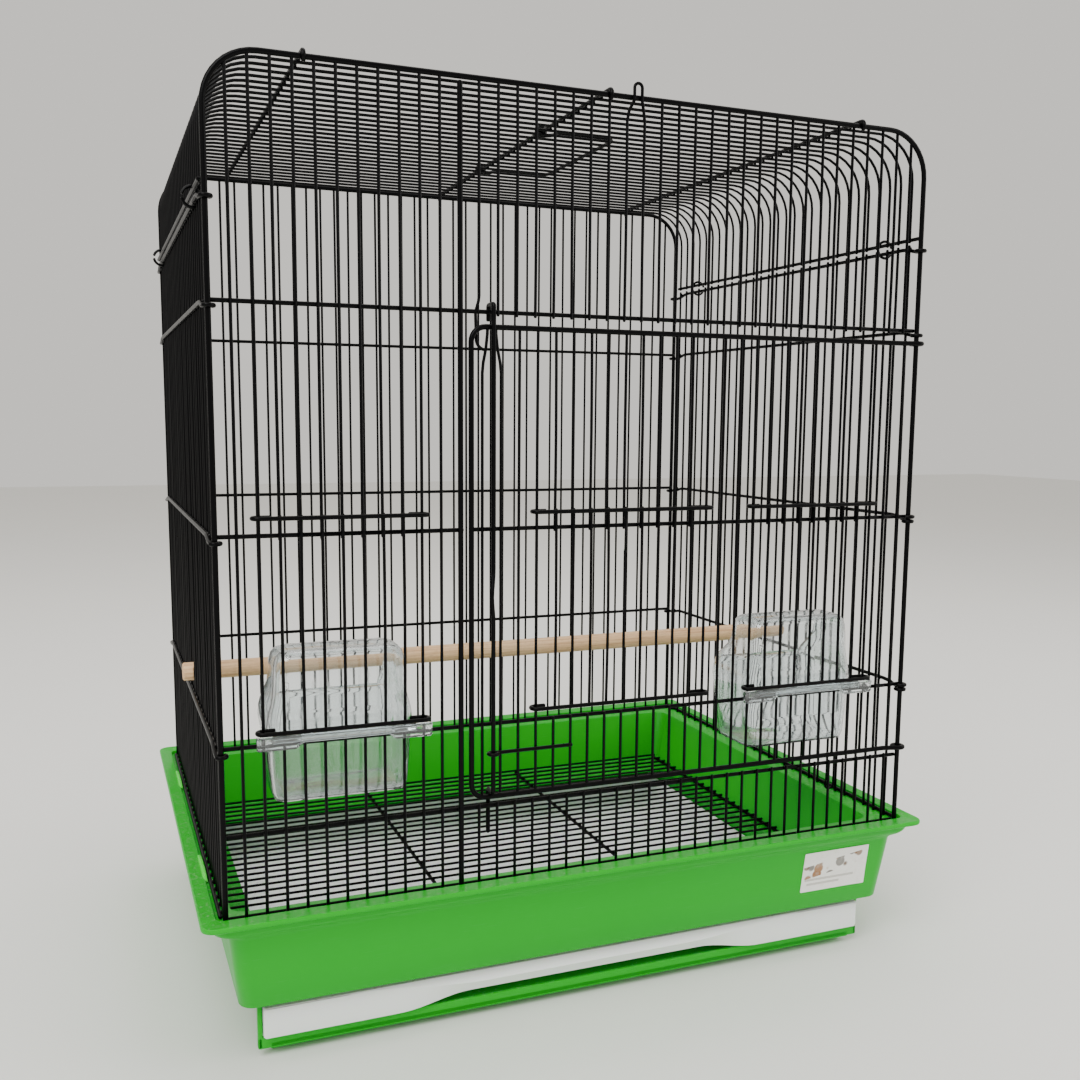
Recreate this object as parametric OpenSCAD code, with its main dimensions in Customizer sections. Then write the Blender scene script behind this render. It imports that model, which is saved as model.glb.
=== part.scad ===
// Wire bird cage on a moulded base with a pull-out tray.
// The object's own frame: origin on the floor under the middle, +Z up, front towards -Y.

/* [Wire cage] */
// Width of the wire cage, outer wire to outer wire, in whole pitches
cage_w = 480; // [456:12:528]
// Depth of the wire cage, front wires to back wires, in whole pitches
cage_d = 360; // [336:12:396]
// Height of the roof wires above the ledge of the base
cage_h = 490; // [485:1:520]
// Distance between neighbouring upright wires
pitch = 12; // [12:1:12]
// Radius of the shoulder between a side and the roof
shoulder_r = 30; // [24:1:34]
// Diameter of the thin upright and roof wires
thin_d = 2.0; // [1.8:0.1:2.2]
// Diameter of the cross bars
bar_d = 2.7; // [2.4:0.1:2.8]
// Diameter of the frame wires and corner posts
frame_d = 3.4; // [3.2:0.1:3.6]

/* [Cross bars, heights above the ledge] */
// Lowest front bar, under the main door
sill_h = 50; // [49:1:51]
// Bar that the feeders sit on
low_h = 103; // [102:1:104]
// Bar under the tops of the lifting doors
middle_h = 226; // [224:1:228]
// Bar over the main door
upper_h = 357; // [356:1:360]
// Bar along the top of each side panel
seam_h = 415; // [412:1:417]

/* [Doors] */
// Left edge of the main door
door_left = -89; // [-89.5:0.5:-88.5]
// Sideways offset of the main door's wires from the cage's wires
door_shift = 2; // [1.5:0.5:2.5]
// Height of a lifting door between its two bars
lift_door_h = 125; // [120:1:126]
// Lift of the latch rod that frees the main door
latch_lift = 22; // [22:1:23]

/* [Base] */
// Width over the rim
rim_w = 510; // [508:1:516]
// Depth over the rim
rim_d = 392; // [391:1:398]
// Height of the ledge that the cage stands on
ledge_z = 98; // [97:1:100]
// Wall thickness of the mouldings
wall = 2.4; // [2:0.1:2.6]
// Height of the white tray's front
tray_front_h = 20; // [18:1:20]

/* [Perch and feeders] */
// Diameter of the wooden perch
perch_d = 12.6; // [12:0.1:13]
// Height of the perch's middle above the ledge
perch_h = 116; // [114:1:124]
// Wall thickness of the clear feeders
cup_wall = 1.8; // [1.6:0.1:2]

/* [Hidden] */

wire_black = "#17171a";
tub_green = "#2fb52f";
lug_green = "#58e24a";
tray_white = "#e6ece8";
dowel = "#cfa477";
clear_plastic = [0.85, 0.92, 0.95, 0.4];

gap = 0.05;          // hairline between wires that are welded on the real cage
run = 0.35;          // clearance of an eye round the wire it turns or slides on
half_w = cage_w / 2;
half_d = cage_d / 2;
foot_of_wires = ledge_z + 0.1;
roof_z = ledge_z + cage_h;
bend_z = roof_z - shoulder_r;
sill_z = ledge_z + sill_h;
low_z = ledge_z + low_h;
middle_z = ledge_z + middle_h;
upper_z = ledge_z + upper_h;
seam_z = ledge_z + seam_h;
edge_z = seam_z + 6;
rim_bar_z = foot_of_wires + bar_d / 2;
// Cross bars lie just inside the front and back uprights, and just outside the side ones.
inset = thin_d / 2 + bar_d / 2 + gap;
last_k = round(cage_w / pitch);
last_j = round(cage_d / pitch);
door_post_k = 12;
door_top_z = upper_z - 9;
door_bottom_z = sill_z + 6.5;
corner_r = 9;
// The lifting doors run just in front of the uprights.
door_wire_y = -half_d - thin_d - 0.3;
door_bar_y = door_wire_y - inset;
door_bar_z = low_z + bar_d / 2 + 7;
// Each lifting door slides on two uprights; its own wires lie between them.
left_door_k = [2, 10];
centre_door_k = [16, 26];
right_door_k = [29, 37];
rod_x_pos = [-186, 0, 186];
top_rod_z = roof_z + frame_d / 2 + bar_d / 2 + gap;

function wire_x(k) = -half_w + k * pitch;
function door_x(k) = wire_x(k) + door_shift;
function side_y(j) = -half_d + j * pitch;
// Highest point of an upright under the rounded outline of its frame
function under_outline(x) =
    let (over = abs(x) + thin_d / 2 - (half_w - shoulder_r), r = shoulder_r - frame_d / 2 - 2 * gap)
    over > 0 ? bend_z + sqrt(r * r - over * over) : roof_z - frame_d / 2 - gap;

// ---- wire lengths -------------------------------------------------------

module along_x(y, z, x1, x2, d) {
    translate([x1, y, z]) rotate([0, 90, 0]) cylinder(h = x2 - x1, d = d, $fn = 16);
}

module along_y(x, z, y1, y2, d) {
    translate([x, y1, z]) rotate([-90, 0, 0]) cylinder(h = y2 - y1, d = d, $fn = 16);
}

module along_z(x, y, z1, z2, d) {
    translate([x, y, z1]) cylinder(h = z2 - z1, d = d, $fn = 16);
}

// A straight length from p to q, cut back by trim at both ends
module between(p, q, d, trim = gap) {
    run_len = norm(q - p);
    dir = (q - p) / run_len;
    translate(p + dir * trim)
        rotate([0, acos(dir[2]), atan2(dir[1], dir[0])])
        cylinder(h = run_len - 2 * trim, d = d, $fn = 16);
}

// A bend in the XZ plane: centre, radius, start angle from +X and sweep
module bend_xz(c, r, start, sweep, d) {
    translate(c) rotate([90, 0, 0]) rotate([0, 0, start])
        rotate_extrude(angle = sweep, $fn = 48) translate([r, 0]) circle(d = d, $fn = 16);
}

// A bend in the XY plane
module bend_xy(c, r, start, sweep, d) {
    translate(c) rotate([0, 0, start])
        rotate_extrude(angle = sweep, $fn = 48) translate([r, 0]) circle(d = d, $fn = 16);
}

// An eye that runs on a vertical wire
module eye_z(x, y, z, wire, d) {
    translate([x, y, z - d / 2]) difference() {
        cylinder(h = d, r = wire / 2 + run + d, $fn = 32);
        translate([0, 0, -1]) cylinder(h = d + 2, r = wire / 2 + run, $fn = 32);
    }
}

// An eye that runs on a front-to-back wire
module eye_y(x, y, z, wire, d) {
    translate([x, y + d / 2, z]) rotate([90, 0, 0]) difference() {
        cylinder(h = d, r = wire / 2 + run + d, $fn = 32);
        translate([0, 0, -1]) cylinder(h = d + 2, r = wire / 2 + run, $fn = 32);
    }
}

// ---- moulded outlines ---------------------------------------------------

module round_rect(w, d, r) {
    hull() for (sx = [-1, 1], sy = [-1, 1])
        translate([sx * (w / 2 - r), sy * (d / 2 - r)]) circle(r = r, $fn = 32);
}

module ring_plate(w, d, r, in_w, in_d, in_r, z1, z2) {
    translate([0, 0, z1]) linear_extrude(z2 - z1) difference() {
        round_rect(w, d, r);
        round_rect(in_w, in_d, in_r);
    }
}

// A solid that narrows from one rounded outline down to another
module drafted(w_top, d_top, r_top, z_top, w_low, d_low, r_low, z_low) {
    hull() {
        translate([0, 0, z_top - 0.1]) linear_extrude(0.1) round_rect(w_top, d_top, r_top);
        translate([0, 0, z_low]) linear_extrude(0.1) round_rect(w_low, d_low, r_low);
    }
}

// ---- base ---------------------------------------------------------------

skirt_top_w = 2 * 239.5;
skirt_top_d = 2 * 186.5;
skirt_low_w = 2 * 229.5;
skirt_low_d = 2 * 176.5;
skirt_low_z = 39.6;
well_top_w = 2 * 227;
well_top_d = 2 * 167;
well_low_w = 2 * 218.5;
well_low_d = 2 * 160;
grille_ledge_z = 53;
lip_top_z = ledge_z + 3.3;
lip_low_z = ledge_z - 0.5;
flange_w = 8;
channel_low_z = ledge_z - 5;
bay_half_w = 219;
bay_front_y = -165;
bay_back_y = 162;
bay_low_z = 8;

module base_tub() {
    color(tub_green) {
        difference() {
            union() {
                // flange, and under it the channel that the cage stands in
                ring_plate(rim_w, rim_d, 8, rim_w - 2 * flange_w, rim_d - 2 * flange_w, 5,
                    lip_low_z, lip_top_z);
                ring_plate(rim_w - 2 * flange_w + 3, rim_d - 2 * flange_w + 3, 7,
                    skirt_top_w - 4, skirt_top_d - 4, 11, channel_low_z, ledge_z);
                drafted(skirt_top_w, skirt_top_d, 12, ledge_z, skirt_low_w, skirt_low_d, 9,
                    skirt_low_z);
            }
            // hollow between the outer skirt and the well
            difference() {
                drafted(skirt_top_w - 2 * wall, skirt_top_d - 2 * wall, 10, ledge_z - wall,
                    skirt_low_w - 2 * wall, skirt_low_d - 2 * wall, 8, skirt_low_z - 1);
                drafted(well_top_w + 2 * wall, well_top_d + 2 * wall, 12, ledge_z,
                    well_low_w + 2 * wall, well_low_d + 2 * wall, 9, skirt_low_z - 2);
            }
            // the well that the droppings fall through
            drafted(well_top_w, well_top_d, 10, ledge_z + 0.2, well_low_w, well_low_d, 8,
                grille_ledge_z);
            translate([0, 0, 20]) linear_extrude(40)
                square([well_low_w - 24, well_low_d - 20], center = true);
            // room for the tray's walls under the grille ledge
            translate([-bay_half_w, bay_front_y - 1, 20])
                cube([2 * bay_half_w, bay_back_y - bay_front_y + 1, grille_ledge_z - wall - 20]);
        }
        // side and back walls of the tray bay
        for (s = [-1, 1])
            translate([s * (bay_half_w + wall / 2) - wall / 2, bay_front_y, bay_low_z])
                cube([wall, bay_back_y - bay_front_y + wall, grille_ledge_z - bay_low_z]);
        translate([-bay_half_w - 1, bay_back_y, bay_low_z])
            cube([2 * bay_half_w + 2, wall, grille_ledge_z - bay_low_z]);
        // header over the tray
        translate([-bay_half_w - 1, bay_front_y, 37])
            cube([2 * bay_half_w + 2, wall, grille_ledge_z - 38]);
    }
}

foot_in_x = 144;
foot_out_x = 213;
foot_h = 6;

module base_plate() {
    half = bay_half_w - 0.3;
    color(tub_green) {
        difference() {
            translate([-half, bay_front_y, foot_h - 0.5])
                cube([2 * half, bay_back_y - bay_front_y - 0.3, 4.5]);
            // two lightening windows
            for (s = [-1, 1])
                translate([s * 105 - 85, -120, 0]) cube([170, 240, 20]);
        }
        // lip along the front edge and two runners that carry the tray
        translate([-half, bay_front_y, foot_h]) cube([2 * half, 3, 7.6]);
        for (s = [-1, 1])
            translate([s * 200 - 4, bay_front_y + 12, foot_h])
                cube([8, bay_back_y - bay_front_y - 20, tray_low_z - foot_h - 0.3]);
        for (sx = [-1, 1], y = [bay_front_y + 9, bay_back_y - 49])
            translate([sx * (foot_in_x + foot_out_x) / 2 - (foot_out_x - foot_in_x) / 2, y, 0])
                cube([foot_out_x - foot_in_x, 40, foot_h]);
    }
}

grille_half_w = 213;
grille_half_d = 155;
grille_pitch = 11;
grille_z = grille_ledge_z + bar_d / 2 + 0.1;

module floor_grille() {
    rows = floor(grille_half_d / grille_pitch);
    color(wire_black) {
        for (x = [-grille_half_w, -72, 72, grille_half_w])
            along_y(x, grille_z, -grille_half_d, grille_half_d, bar_d);
        for (i = [-rows : rows])
            along_x(i * grille_pitch, grille_z + inset, -grille_half_w - 1, grille_half_w + 1,
                thin_d);
    }
}

lug_w = 2.8;
lug_l = 46;
lug_h = 5;

module snap_lugs() {
    color(lug_green) for (y = [-95, 101])
        translate([-rim_w / 2 + flange_w + gap, y - lug_l / 2, ledge_z + gap])
            cube([lug_w, lug_l, lug_h]);
}

label_w = 55;
label_h = 32;

module blank_label() {
    lean = atan((skirt_top_d - skirt_low_d) / 2 / (ledge_z - skirt_low_z));
    mid_z = 69;
    face_y = -skirt_low_d / 2 - (mid_z - skirt_low_z) * tan(lean);
    color("white") translate([187.5, face_y - 0.1, mid_z]) rotate([lean, 0, 0])
        translate([-label_w / 2, -0.5, -label_h / 2]) cube([label_w, 0.4, label_h]);
}

// ---- tray ---------------------------------------------------------------

tray_half_w = 216.5;
tray_front_y = -169.4;
tray_back_y = 156;
tray_low_z = 14.4;
tray_wall = 2;
grip_top_z = tray_low_z + 9;
grip_half_w = 88;
grip_sweep = 42;

// Half of the finger recess: flat above, then an S-curve down to the front's lower edge
function grip_edge() = [for (i = [0 : 8]) let (t = i / 8)
    [grip_half_w + grip_sweep * t, grip_top_z - (grip_top_z - tray_low_z) * (1 - cos(180 * t)) / 2]];

module slide_tray() {
    top_z = tray_low_z + tray_front_h;
    right = grip_edge();
    left = [for (i = [8 : -1 : 0]) [-right[i][0], right[i][1]]];
    color(tray_white) {
        difference() {
            translate([-tray_half_w, tray_front_y + 16, tray_low_z])
                cube([2 * tray_half_w, tray_back_y - tray_front_y - 16, tray_front_h]);
            translate([-tray_half_w + tray_wall, tray_front_y + 18, tray_low_z + tray_wall])
                cube([2 * (tray_half_w - tray_wall), tray_back_y - tray_front_y - 20, 40]);
        }
        // front with the finger recess cut out of its underside
        difference() {
            translate([-tray_half_w, tray_front_y, tray_low_z])
                cube([2 * tray_half_w, 16.5, tray_front_h]);
            translate([0, tray_front_y + 15, 0]) rotate([90, 0, 0]) linear_extrude(30)
                polygon(concat([[right[8][0], 0]], [for (i = [8 : -1 : 0]) right[i]],
                    [for (i = [8 : -1 : 0]) left[i]], [[left[0][0], 0]]));
        }
    }
}

// ---- front and back panels ---------------------------------------------

// Rounded outline of a panel: two posts, two shoulders and the top bar
module outline(y) {
    for (s = [-1, 1]) along_z(s * half_w, y, foot_of_wires, bend_z - gap, frame_d);
    bend_xz([half_w - shoulder_r, y, bend_z], shoulder_r, 0, 90, frame_d);
    bend_xz([-half_w + shoulder_r, y, bend_z], shoulder_r, 90, 90, frame_d);
    along_x(y, roof_z, -half_w + shoulder_r + gap, half_w - shoulder_r - gap, frame_d);
}

module front_frame() {
    color(wire_black) {
        outline(-half_d);
        // thicker post beside the main door, flush with the wires inside
        along_z(wire_x(door_post_k), -half_d - (frame_d - thin_d) / 2, foot_of_wires,
            roof_z - frame_d - gap, frame_d);
    }
}

module front_uprights() {
    color(wire_black) for (k = [1 : last_k - 1]) if (k != door_post_k) {
        x = wire_x(k);
        top = under_outline(x);
        in_left_door = k > left_door_k[0] && k < left_door_k[1];
        if (k < door_post_k && !in_left_door)
            along_z(x, -half_d, foot_of_wires, top, thin_d);
        if (in_left_door) {
            along_z(x, -half_d, foot_of_wires, low_z + 1, thin_d);
            along_z(x, -half_d, middle_z - 1, top, thin_d);
        }
        if (k > door_post_k) {
            along_z(x, -half_d, foot_of_wires, sill_z + 1, thin_d);
            along_z(x, -half_d, upper_z - 1, top, thin_d);
        }
    }
}

module front_crossbars() {
    reach = half_w - frame_d / 2 - 0.1;
    left_end = wire_x(door_post_k) + 1.5;
    y = -half_d + inset;
    color(wire_black) {
        for (z = [rim_bar_z, sill_z, upper_z]) along_x(y, z, -reach, reach, bar_d);
        for (z = [low_z, middle_z]) along_x(y, z, -reach, left_end, bar_d);
    }
}

module back_frame() {
    color(wire_black) outline(half_d);
}

module back_uprights() {
    color(wire_black) for (k = [1 : last_k - 1])
        along_z(wire_x(k), half_d, foot_of_wires, under_outline(wire_x(k)), thin_d);
}

module back_crossbars() {
    reach = half_w - frame_d / 2 - 0.1;
    color(wire_black) for (z = [rim_bar_z, low_z, middle_z, upper_z])
        along_x(half_d - inset, z, -reach, reach, bar_d);
}

// ---- side panels and roof ----------------------------------------------

// Side bars stop short of the main door's eyes round the corner post.
side_reach = half_d - frame_d / 2 - run - frame_d;

module side_wires(side) {
    color(wire_black) for (j = [1 : last_j - 1])
        along_z(side * half_w, side_y(j), foot_of_wires, seam_z + 1, thin_d);
}

module side_bars(side) {
    color(wire_black) for (z = [rim_bar_z, low_z, middle_z, upper_z, seam_z])
        along_y(side * (half_w + inset), z, -side_reach, side_reach, bar_d);
}

module left_side_wires() { side_wires(-1); }
module left_side_bars() { side_bars(-1); }
module right_side_wires() { side_wires(1); }
module right_side_bars() { side_bars(1); }

module roof_wires() {
    color(wire_black) for (j = [1 : last_j - 1])
        along_x(side_y(j), roof_z, -half_w + shoulder_r + gap, half_w - shoulder_r - gap, thin_d);
}

module roof_bends() {
    color(wire_black) for (j = [1 : last_j - 1]) {
        bend_xz([half_w - shoulder_r, side_y(j), bend_z], shoulder_r, 0, 90, thin_d);
        bend_xz([-half_w + shoulder_r, side_y(j), bend_z], shoulder_r, 90, 90, thin_d);
    }
}

module roof_side_legs() {
    color(wire_black) for (j = [1 : last_j - 1], s = [-1, 1])
        along_z(s * half_w, side_y(j), edge_z - 1, bend_z - gap, thin_d);
}

module roof_edge_bars() {
    color(wire_black) for (s = [-1, 1])
        along_y(s * (half_w + inset), edge_z, -side_reach, side_reach, bar_d);
}

module roof_rods() {
    color(wire_black) for (x = rod_x_pos)
        along_y(x, top_rod_z, -half_d - 3, half_d + 3, bar_d);
}

// Wire rings that join the roof's edge bars to the side panels
module joining_rings() {
    color(wire_black) for (s = [-1, 1], y = [-138, 138])
        bend_xz([s * (half_w + inset), y, (seam_z + edge_z) / 2], 6, 0, 360, thin_d);
}

// Small loop over the middle of the front's top bar
module top_hook() {
    y = -half_d - frame_d / 2 - thin_d / 2 - gap;
    color(wire_black) {
        for (s = [-1, 1]) along_z(18 + s * 4, y, roof_z - 6, roof_z + 4 - gap, thin_d);
        bend_xz([18, y, roof_z + 4], 4, 0, 180, thin_d);
    }
}

// Curled wire clip at the foot of the right side, over the base's ledge
module tub_clip() {
    x = half_w - thin_d - gap;
    y = side_y(6);
    curl_z = ledge_z + 7;
    color(wire_black) {
        along_z(x, y, curl_z + gap, curl_z + 12, thin_d);
        bend_xz([x - 4, y, curl_z], 4, 180, 180, thin_d);
    }
}

// ---- perch --------------------------------------------------------------

perch_y = -half_d + 13.5 * pitch;

module perch() {
    z = ledge_z + perch_h;
    neck = pitch - thin_d - 0.2;
    color(dowel) difference() {
        translate([-half_w - 8, perch_y, z]) rotate([0, 90, 0])
            cylinder(h = cage_w + 11.5, d = perch_d, $fn = 48);
        // grooves that grip the side wires
        for (sx = [-1, 1], sy = [-1, 1])
            translate([sx * half_w - 1.3, perch_y + sy * (neck / 2 + 5) - 5, z - 10])
                cube([2.6, 10, 20]);
    }
}

// ---- feeders ------------------------------------------------------------

feeder_w = 90;
feeder_depth = 56;
cup_low_z = 162;
hood_top_z = 260;
flange_low_z = low_z + bar_d / 2 + 0.25;
flange_top_z = door_bar_z - bar_d / 2 - 0.3;
feeder_front_y = -half_d + inset + bar_d / 2 + 1;

// Side view of the feeder pushed across its width: the cup below, the hood above
module feeder_side(shrink) {
    w = feeder_w + 10;
    back = feeder_front_y + feeder_depth - shrink;
    front = feeder_front_y + shrink;
    rotate([90, 0, 90]) translate([0, 0, -w / 2]) linear_extrude(w) polygon([
        [front, hood_top_z - shrink], [back - 22, hood_top_z - shrink],
        [back - 4, hood_top_z - 16], [back, flange_top_z + 12],
        [back - 5, cup_low_z + shrink], [front + 2, cup_low_z + shrink],
        [front, flange_low_z]]);
}

// Front view of the feeder: a cup tapering down and a hood with round shoulders
module feeder_front(shrink) {
    top = feeder_w / 2 - 4 - shrink;
    low = feeder_w / 2 - 3 - shrink;
    rotate([90, 0, 0]) translate([0, 0, -feeder_front_y - feeder_depth - 5])
        linear_extrude(feeder_depth + 10) union() {
            polygon([
                [-feeder_w / 2 + shrink, flange_top_z + 2], [feeder_w / 2 - shrink, flange_top_z + 2],
                [low, cup_low_z + shrink + 5], [low - 5, cup_low_z + shrink],
                [-low + 5, cup_low_z + shrink], [-low, cup_low_z + shrink + 5]]);
            polygon([
                [-feeder_w / 2 + shrink, flange_top_z + 2.1], [-feeder_w / 2 + shrink, flange_top_z],
                [feeder_w / 2 - shrink, flange_top_z], [feeder_w / 2 - shrink, flange_top_z + 2.1],
                [top, flange_top_z + 14], [top, hood_top_z - shrink - 8],
                [top - 2.4, hood_top_z - shrink - 2.4], [top - 8, hood_top_z - shrink],
                [-top + 8, hood_top_z - shrink], [-top + 2.4, hood_top_z - shrink - 2.4],
                [-top, hood_top_z - shrink - 8], [-top, flange_top_z + 14]]);
        }
}

module feeder() {
    color(clear_plastic) {
        difference() {
            intersection() {
                feeder_side(0);
                feeder_front(0);
            }
            intersection() {
                feeder_side(cup_wall);
                feeder_front(cup_wall);
            }
            // the way in for the bird, from inside the cage, above the cup's back wall
            translate([-feeder_w / 2 + 9, feeder_front_y + 20, flange_top_z + 14])
                cube([feeder_w - 18, 60, hood_top_z - flange_top_z - 23]);
        }
        // neck through the panel and the flange that rests in front of it
        translate([-feeder_w / 2 + 1, -half_d - 2.5, flange_low_z])
            cube([feeder_w - 2, feeder_front_y + half_d + 3.5, flange_top_z - flange_low_z]);
        translate([-52.5, -half_d - 5.5, flange_low_z])
            cube([105, 4, flange_top_z - flange_low_z]);
    }
}

module left_feeder() {
    translate([(wire_x(left_door_k[0]) + wire_x(left_door_k[1])) / 2, 0, 0]) feeder();
}

module right_feeder() {
    translate([(door_x(right_door_k[0]) + door_x(right_door_k[1])) / 2, 0, 0]) feeder();
}

// ---- lifting doors ------------------------------------------------------

// A door between two guide uprights, with eyes that run on them
module lifting_door(x1, x2, count) {
    top_z = door_bar_z + lift_door_h;
    step = (x2 - x1) / (count + 1);
    color(wire_black) {
        for (i = [1 : count])
            along_z(x1 + i * step, door_wire_y, door_bar_z - 1, top_z + 1, thin_d);
        for (z = [door_bar_z, top_z]) {
            along_x(door_bar_y, z, x1 + 2, x2 - 2, bar_d);
            for (x = [x1, x2]) eye_z(x, -half_d, z, thin_d, bar_d);
        }
    }
}

module left_feeder_door() {
    k = left_door_k;
    lifting_door(wire_x(k[0]), wire_x(k[1]), k[1] - k[0] - 1);
}

module centre_door() {
    k = centre_door_k;
    lifting_door(door_x(k[0]), door_x(k[1]), k[1] - k[0] - 1);
}

module right_feeder_door() {
    k = right_door_k;
    lifting_door(door_x(k[0]), door_x(k[1]), k[1] - k[0] - 1);
}

// ---- main door ----------------------------------------------------------

eye_reach = frame_d / 2 + run + frame_d;
bar_eye_reach = frame_d / 2 + run + bar_d;

module main_door_frame() {
    x0 = door_left + corner_r;
    end_x = half_w - eye_reach - gap;
    color(wire_black) {
        along_z(door_left, -half_d, door_bottom_z + corner_r + gap, door_top_z - corner_r - gap,
            frame_d);
        bend_xz([x0, -half_d, door_top_z - corner_r], corner_r, 90, 90, frame_d);
        bend_xz([x0, -half_d, door_bottom_z + corner_r], corner_r, 180, 90, frame_d);
        for (z = [door_bottom_z, door_top_z]) along_x(-half_d, z, x0 + gap, end_x, frame_d);
    }
}

module main_door_wires() {
    in_r = corner_r - frame_d / 2 - 2 * gap;
    color(wire_black) for (k = [door_post_k + 1 : last_k - 1]) {
        x = door_x(k);
        // a wire near the rounded corner stops where the corner's bend crosses it
        over = max(0, door_left + corner_r - x + thin_d / 2);
        reach = corner_r - sqrt(in_r * in_r - over * over);
        low = door_bottom_z + reach;
        top = door_top_z - reach;
        in_centre = k > centre_door_k[0] && k < centre_door_k[1];
        in_right = k > right_door_k[0] && k < right_door_k[1];
        if (in_centre || in_right) {
            along_z(x, -half_d, low, low_z + 1, thin_d);
            along_z(x, -half_d, middle_z - 1, top, thin_d);
        } else {
            along_z(x, -half_d, low, top, thin_d);
        }
    }
}

module main_door_bars() {
    color(wire_black) for (z = [low_z, middle_z])
        along_x(-half_d + inset, z, door_left + frame_d / 2 + 0.1, half_w - bar_eye_reach - gap,
            bar_d);
}

module main_door_hinge_eyes() {
    color(wire_black) {
        for (z = [door_bottom_z, door_top_z]) eye_z(half_w, -half_d, z, frame_d, frame_d);
        for (z = [low_z, middle_z]) eye_z(half_w, -half_d, z, frame_d, bar_d);
    }
}

// ---- latch --------------------------------------------------------------

latch_d = 2.8;
latch_x = (door_x(13) + door_x(14)) / 2;
latch_y = -half_d - 4.3;
latch_in_y = -half_d + inset + bar_d / 2 + latch_d / 2 + 1.1;
latch_jog_z = door_bottom_z + frame_d / 2 + latch_d / 2 + 0.3;
latch_guide_z = latch_jog_z + latch_lift + latch_d + 0.6;
latch_hook_z = upper_z + bar_d / 2 + latch_d / 2 + 1.6;

module latch_guide() {
    y = -half_d - thin_d - gap;
    color(wire_black) {
        eye_z(latch_x, latch_y, latch_guide_z, latch_d, thin_d);
        along_x(y, latch_guide_z, latch_x + 4.4, latch_x + 54, thin_d);
    }
}

module latch_rod() {
    tip_z = sill_z + bar_d / 2 - latch_lift + 1.2;
    kink_z = 283;
    knuckle = latch_d / 2 + gap;
    color(wire_black) {
        // hook over the bar above the door
        along_z(latch_x, latch_in_y, latch_hook_z - 9, latch_hook_z - knuckle, latch_d);
        along_y(latch_x, latch_hook_z, latch_y - latch_d / 2, latch_in_y + latch_d / 2, latch_d);
        along_z(latch_x, latch_y, kink_z + 14, latch_hook_z - knuckle, latch_d);
        // finger kink
        between([latch_x, latch_y, kink_z + 14], [latch_x - 3, latch_y - 5, kink_z], latch_d, 1);
        between([latch_x - 3, latch_y - 5, kink_z], [latch_x, latch_y, kink_z - 14], latch_d, 1);
        // shank, jog through the door and the bolt behind the sill bar
        along_z(latch_x, latch_y, latch_jog_z + knuckle, kink_z - 14, latch_d);
        along_y(latch_x, latch_jog_z, latch_y - latch_d / 2, latch_in_y + latch_d / 2, latch_d);
        along_z(latch_x, latch_in_y, tip_z, latch_jog_z - knuckle, latch_d);
    }
}

// ---- carry handle -------------------------------------------------------

handle_half = 66;
handle_leg = 57;

module carry_handle() {
    reach = bar_d / 2 + run + bar_d;
    r = 8;
    color(wire_black) for (s = [-1, 1]) {
        eye_y(0, s * handle_half, top_rod_z, bar_d, bar_d);
        along_x(s * handle_half, top_rod_z, reach + gap, handle_leg - r - gap, bar_d);
        bend_xy([handle_leg - r, s * (handle_half - r), top_rod_z], r, s > 0 ? 0 : 270, 90, bar_d);
    }
    color(wire_black)
        along_y(handle_leg, top_rod_z, -handle_half + r + gap, handle_half - r - gap, bar_d);
}

base_tub();
base_plate();
floor_grille();
snap_lugs();
blank_label();
slide_tray();
front_frame();
front_uprights();
front_crossbars();
back_frame();
back_uprights();
back_crossbars();
left_side_wires();
left_side_bars();
right_side_wires();
right_side_bars();
roof_wires();
roof_bends();
roof_side_legs();
roof_edge_bars();
roof_rods();
joining_rings();
top_hook();
tub_clip();
perch();
left_feeder();
left_feeder_door();
main_door_frame();
main_door_wires();
main_door_bars();
main_door_hinge_eyes();
latch_guide();
right_feeder();
right_feeder_door();
centre_door();
latch_rod();
carry_handle();
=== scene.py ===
"""Wire bird cage: the finished look of the packed model, built piece by piece round its frame."""

import math
import random

import bmesh
import bpy
from bpy.props import FloatProperty, FloatVectorProperty, PointerProperty
from mathutils import Matrix, Vector


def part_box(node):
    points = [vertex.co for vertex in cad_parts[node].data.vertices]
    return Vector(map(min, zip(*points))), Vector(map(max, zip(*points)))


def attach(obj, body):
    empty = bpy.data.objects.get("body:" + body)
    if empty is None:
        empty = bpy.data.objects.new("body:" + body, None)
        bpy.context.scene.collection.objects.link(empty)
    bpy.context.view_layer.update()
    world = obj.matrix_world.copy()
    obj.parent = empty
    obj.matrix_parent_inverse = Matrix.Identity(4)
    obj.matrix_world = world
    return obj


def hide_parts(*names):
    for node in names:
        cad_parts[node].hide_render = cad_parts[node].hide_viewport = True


bl_info = {"name": "Wire Bird Cage", "version": (1, 0, 0), "blender": (4, 5, 0),
    "location": "View3D > Sidebar > Bird Cage",
    "description": "Builds a wire bird cage on its moulded base, piece by piece", "category": "Object",
    }

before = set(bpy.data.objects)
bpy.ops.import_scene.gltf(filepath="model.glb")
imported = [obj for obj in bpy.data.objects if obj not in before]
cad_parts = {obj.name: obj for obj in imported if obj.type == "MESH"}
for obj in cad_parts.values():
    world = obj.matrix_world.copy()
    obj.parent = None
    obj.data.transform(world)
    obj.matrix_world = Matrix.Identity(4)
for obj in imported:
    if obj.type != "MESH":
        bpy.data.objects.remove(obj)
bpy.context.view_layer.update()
MM = 0.001


# ---- places, read from the frame ------------------------------------------

def low(node):
    """Lowest corner of a CAD node."""
    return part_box(node)[0]


def high(node):
    """Highest corner of a CAD node."""
    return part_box(node)[1]


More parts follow.
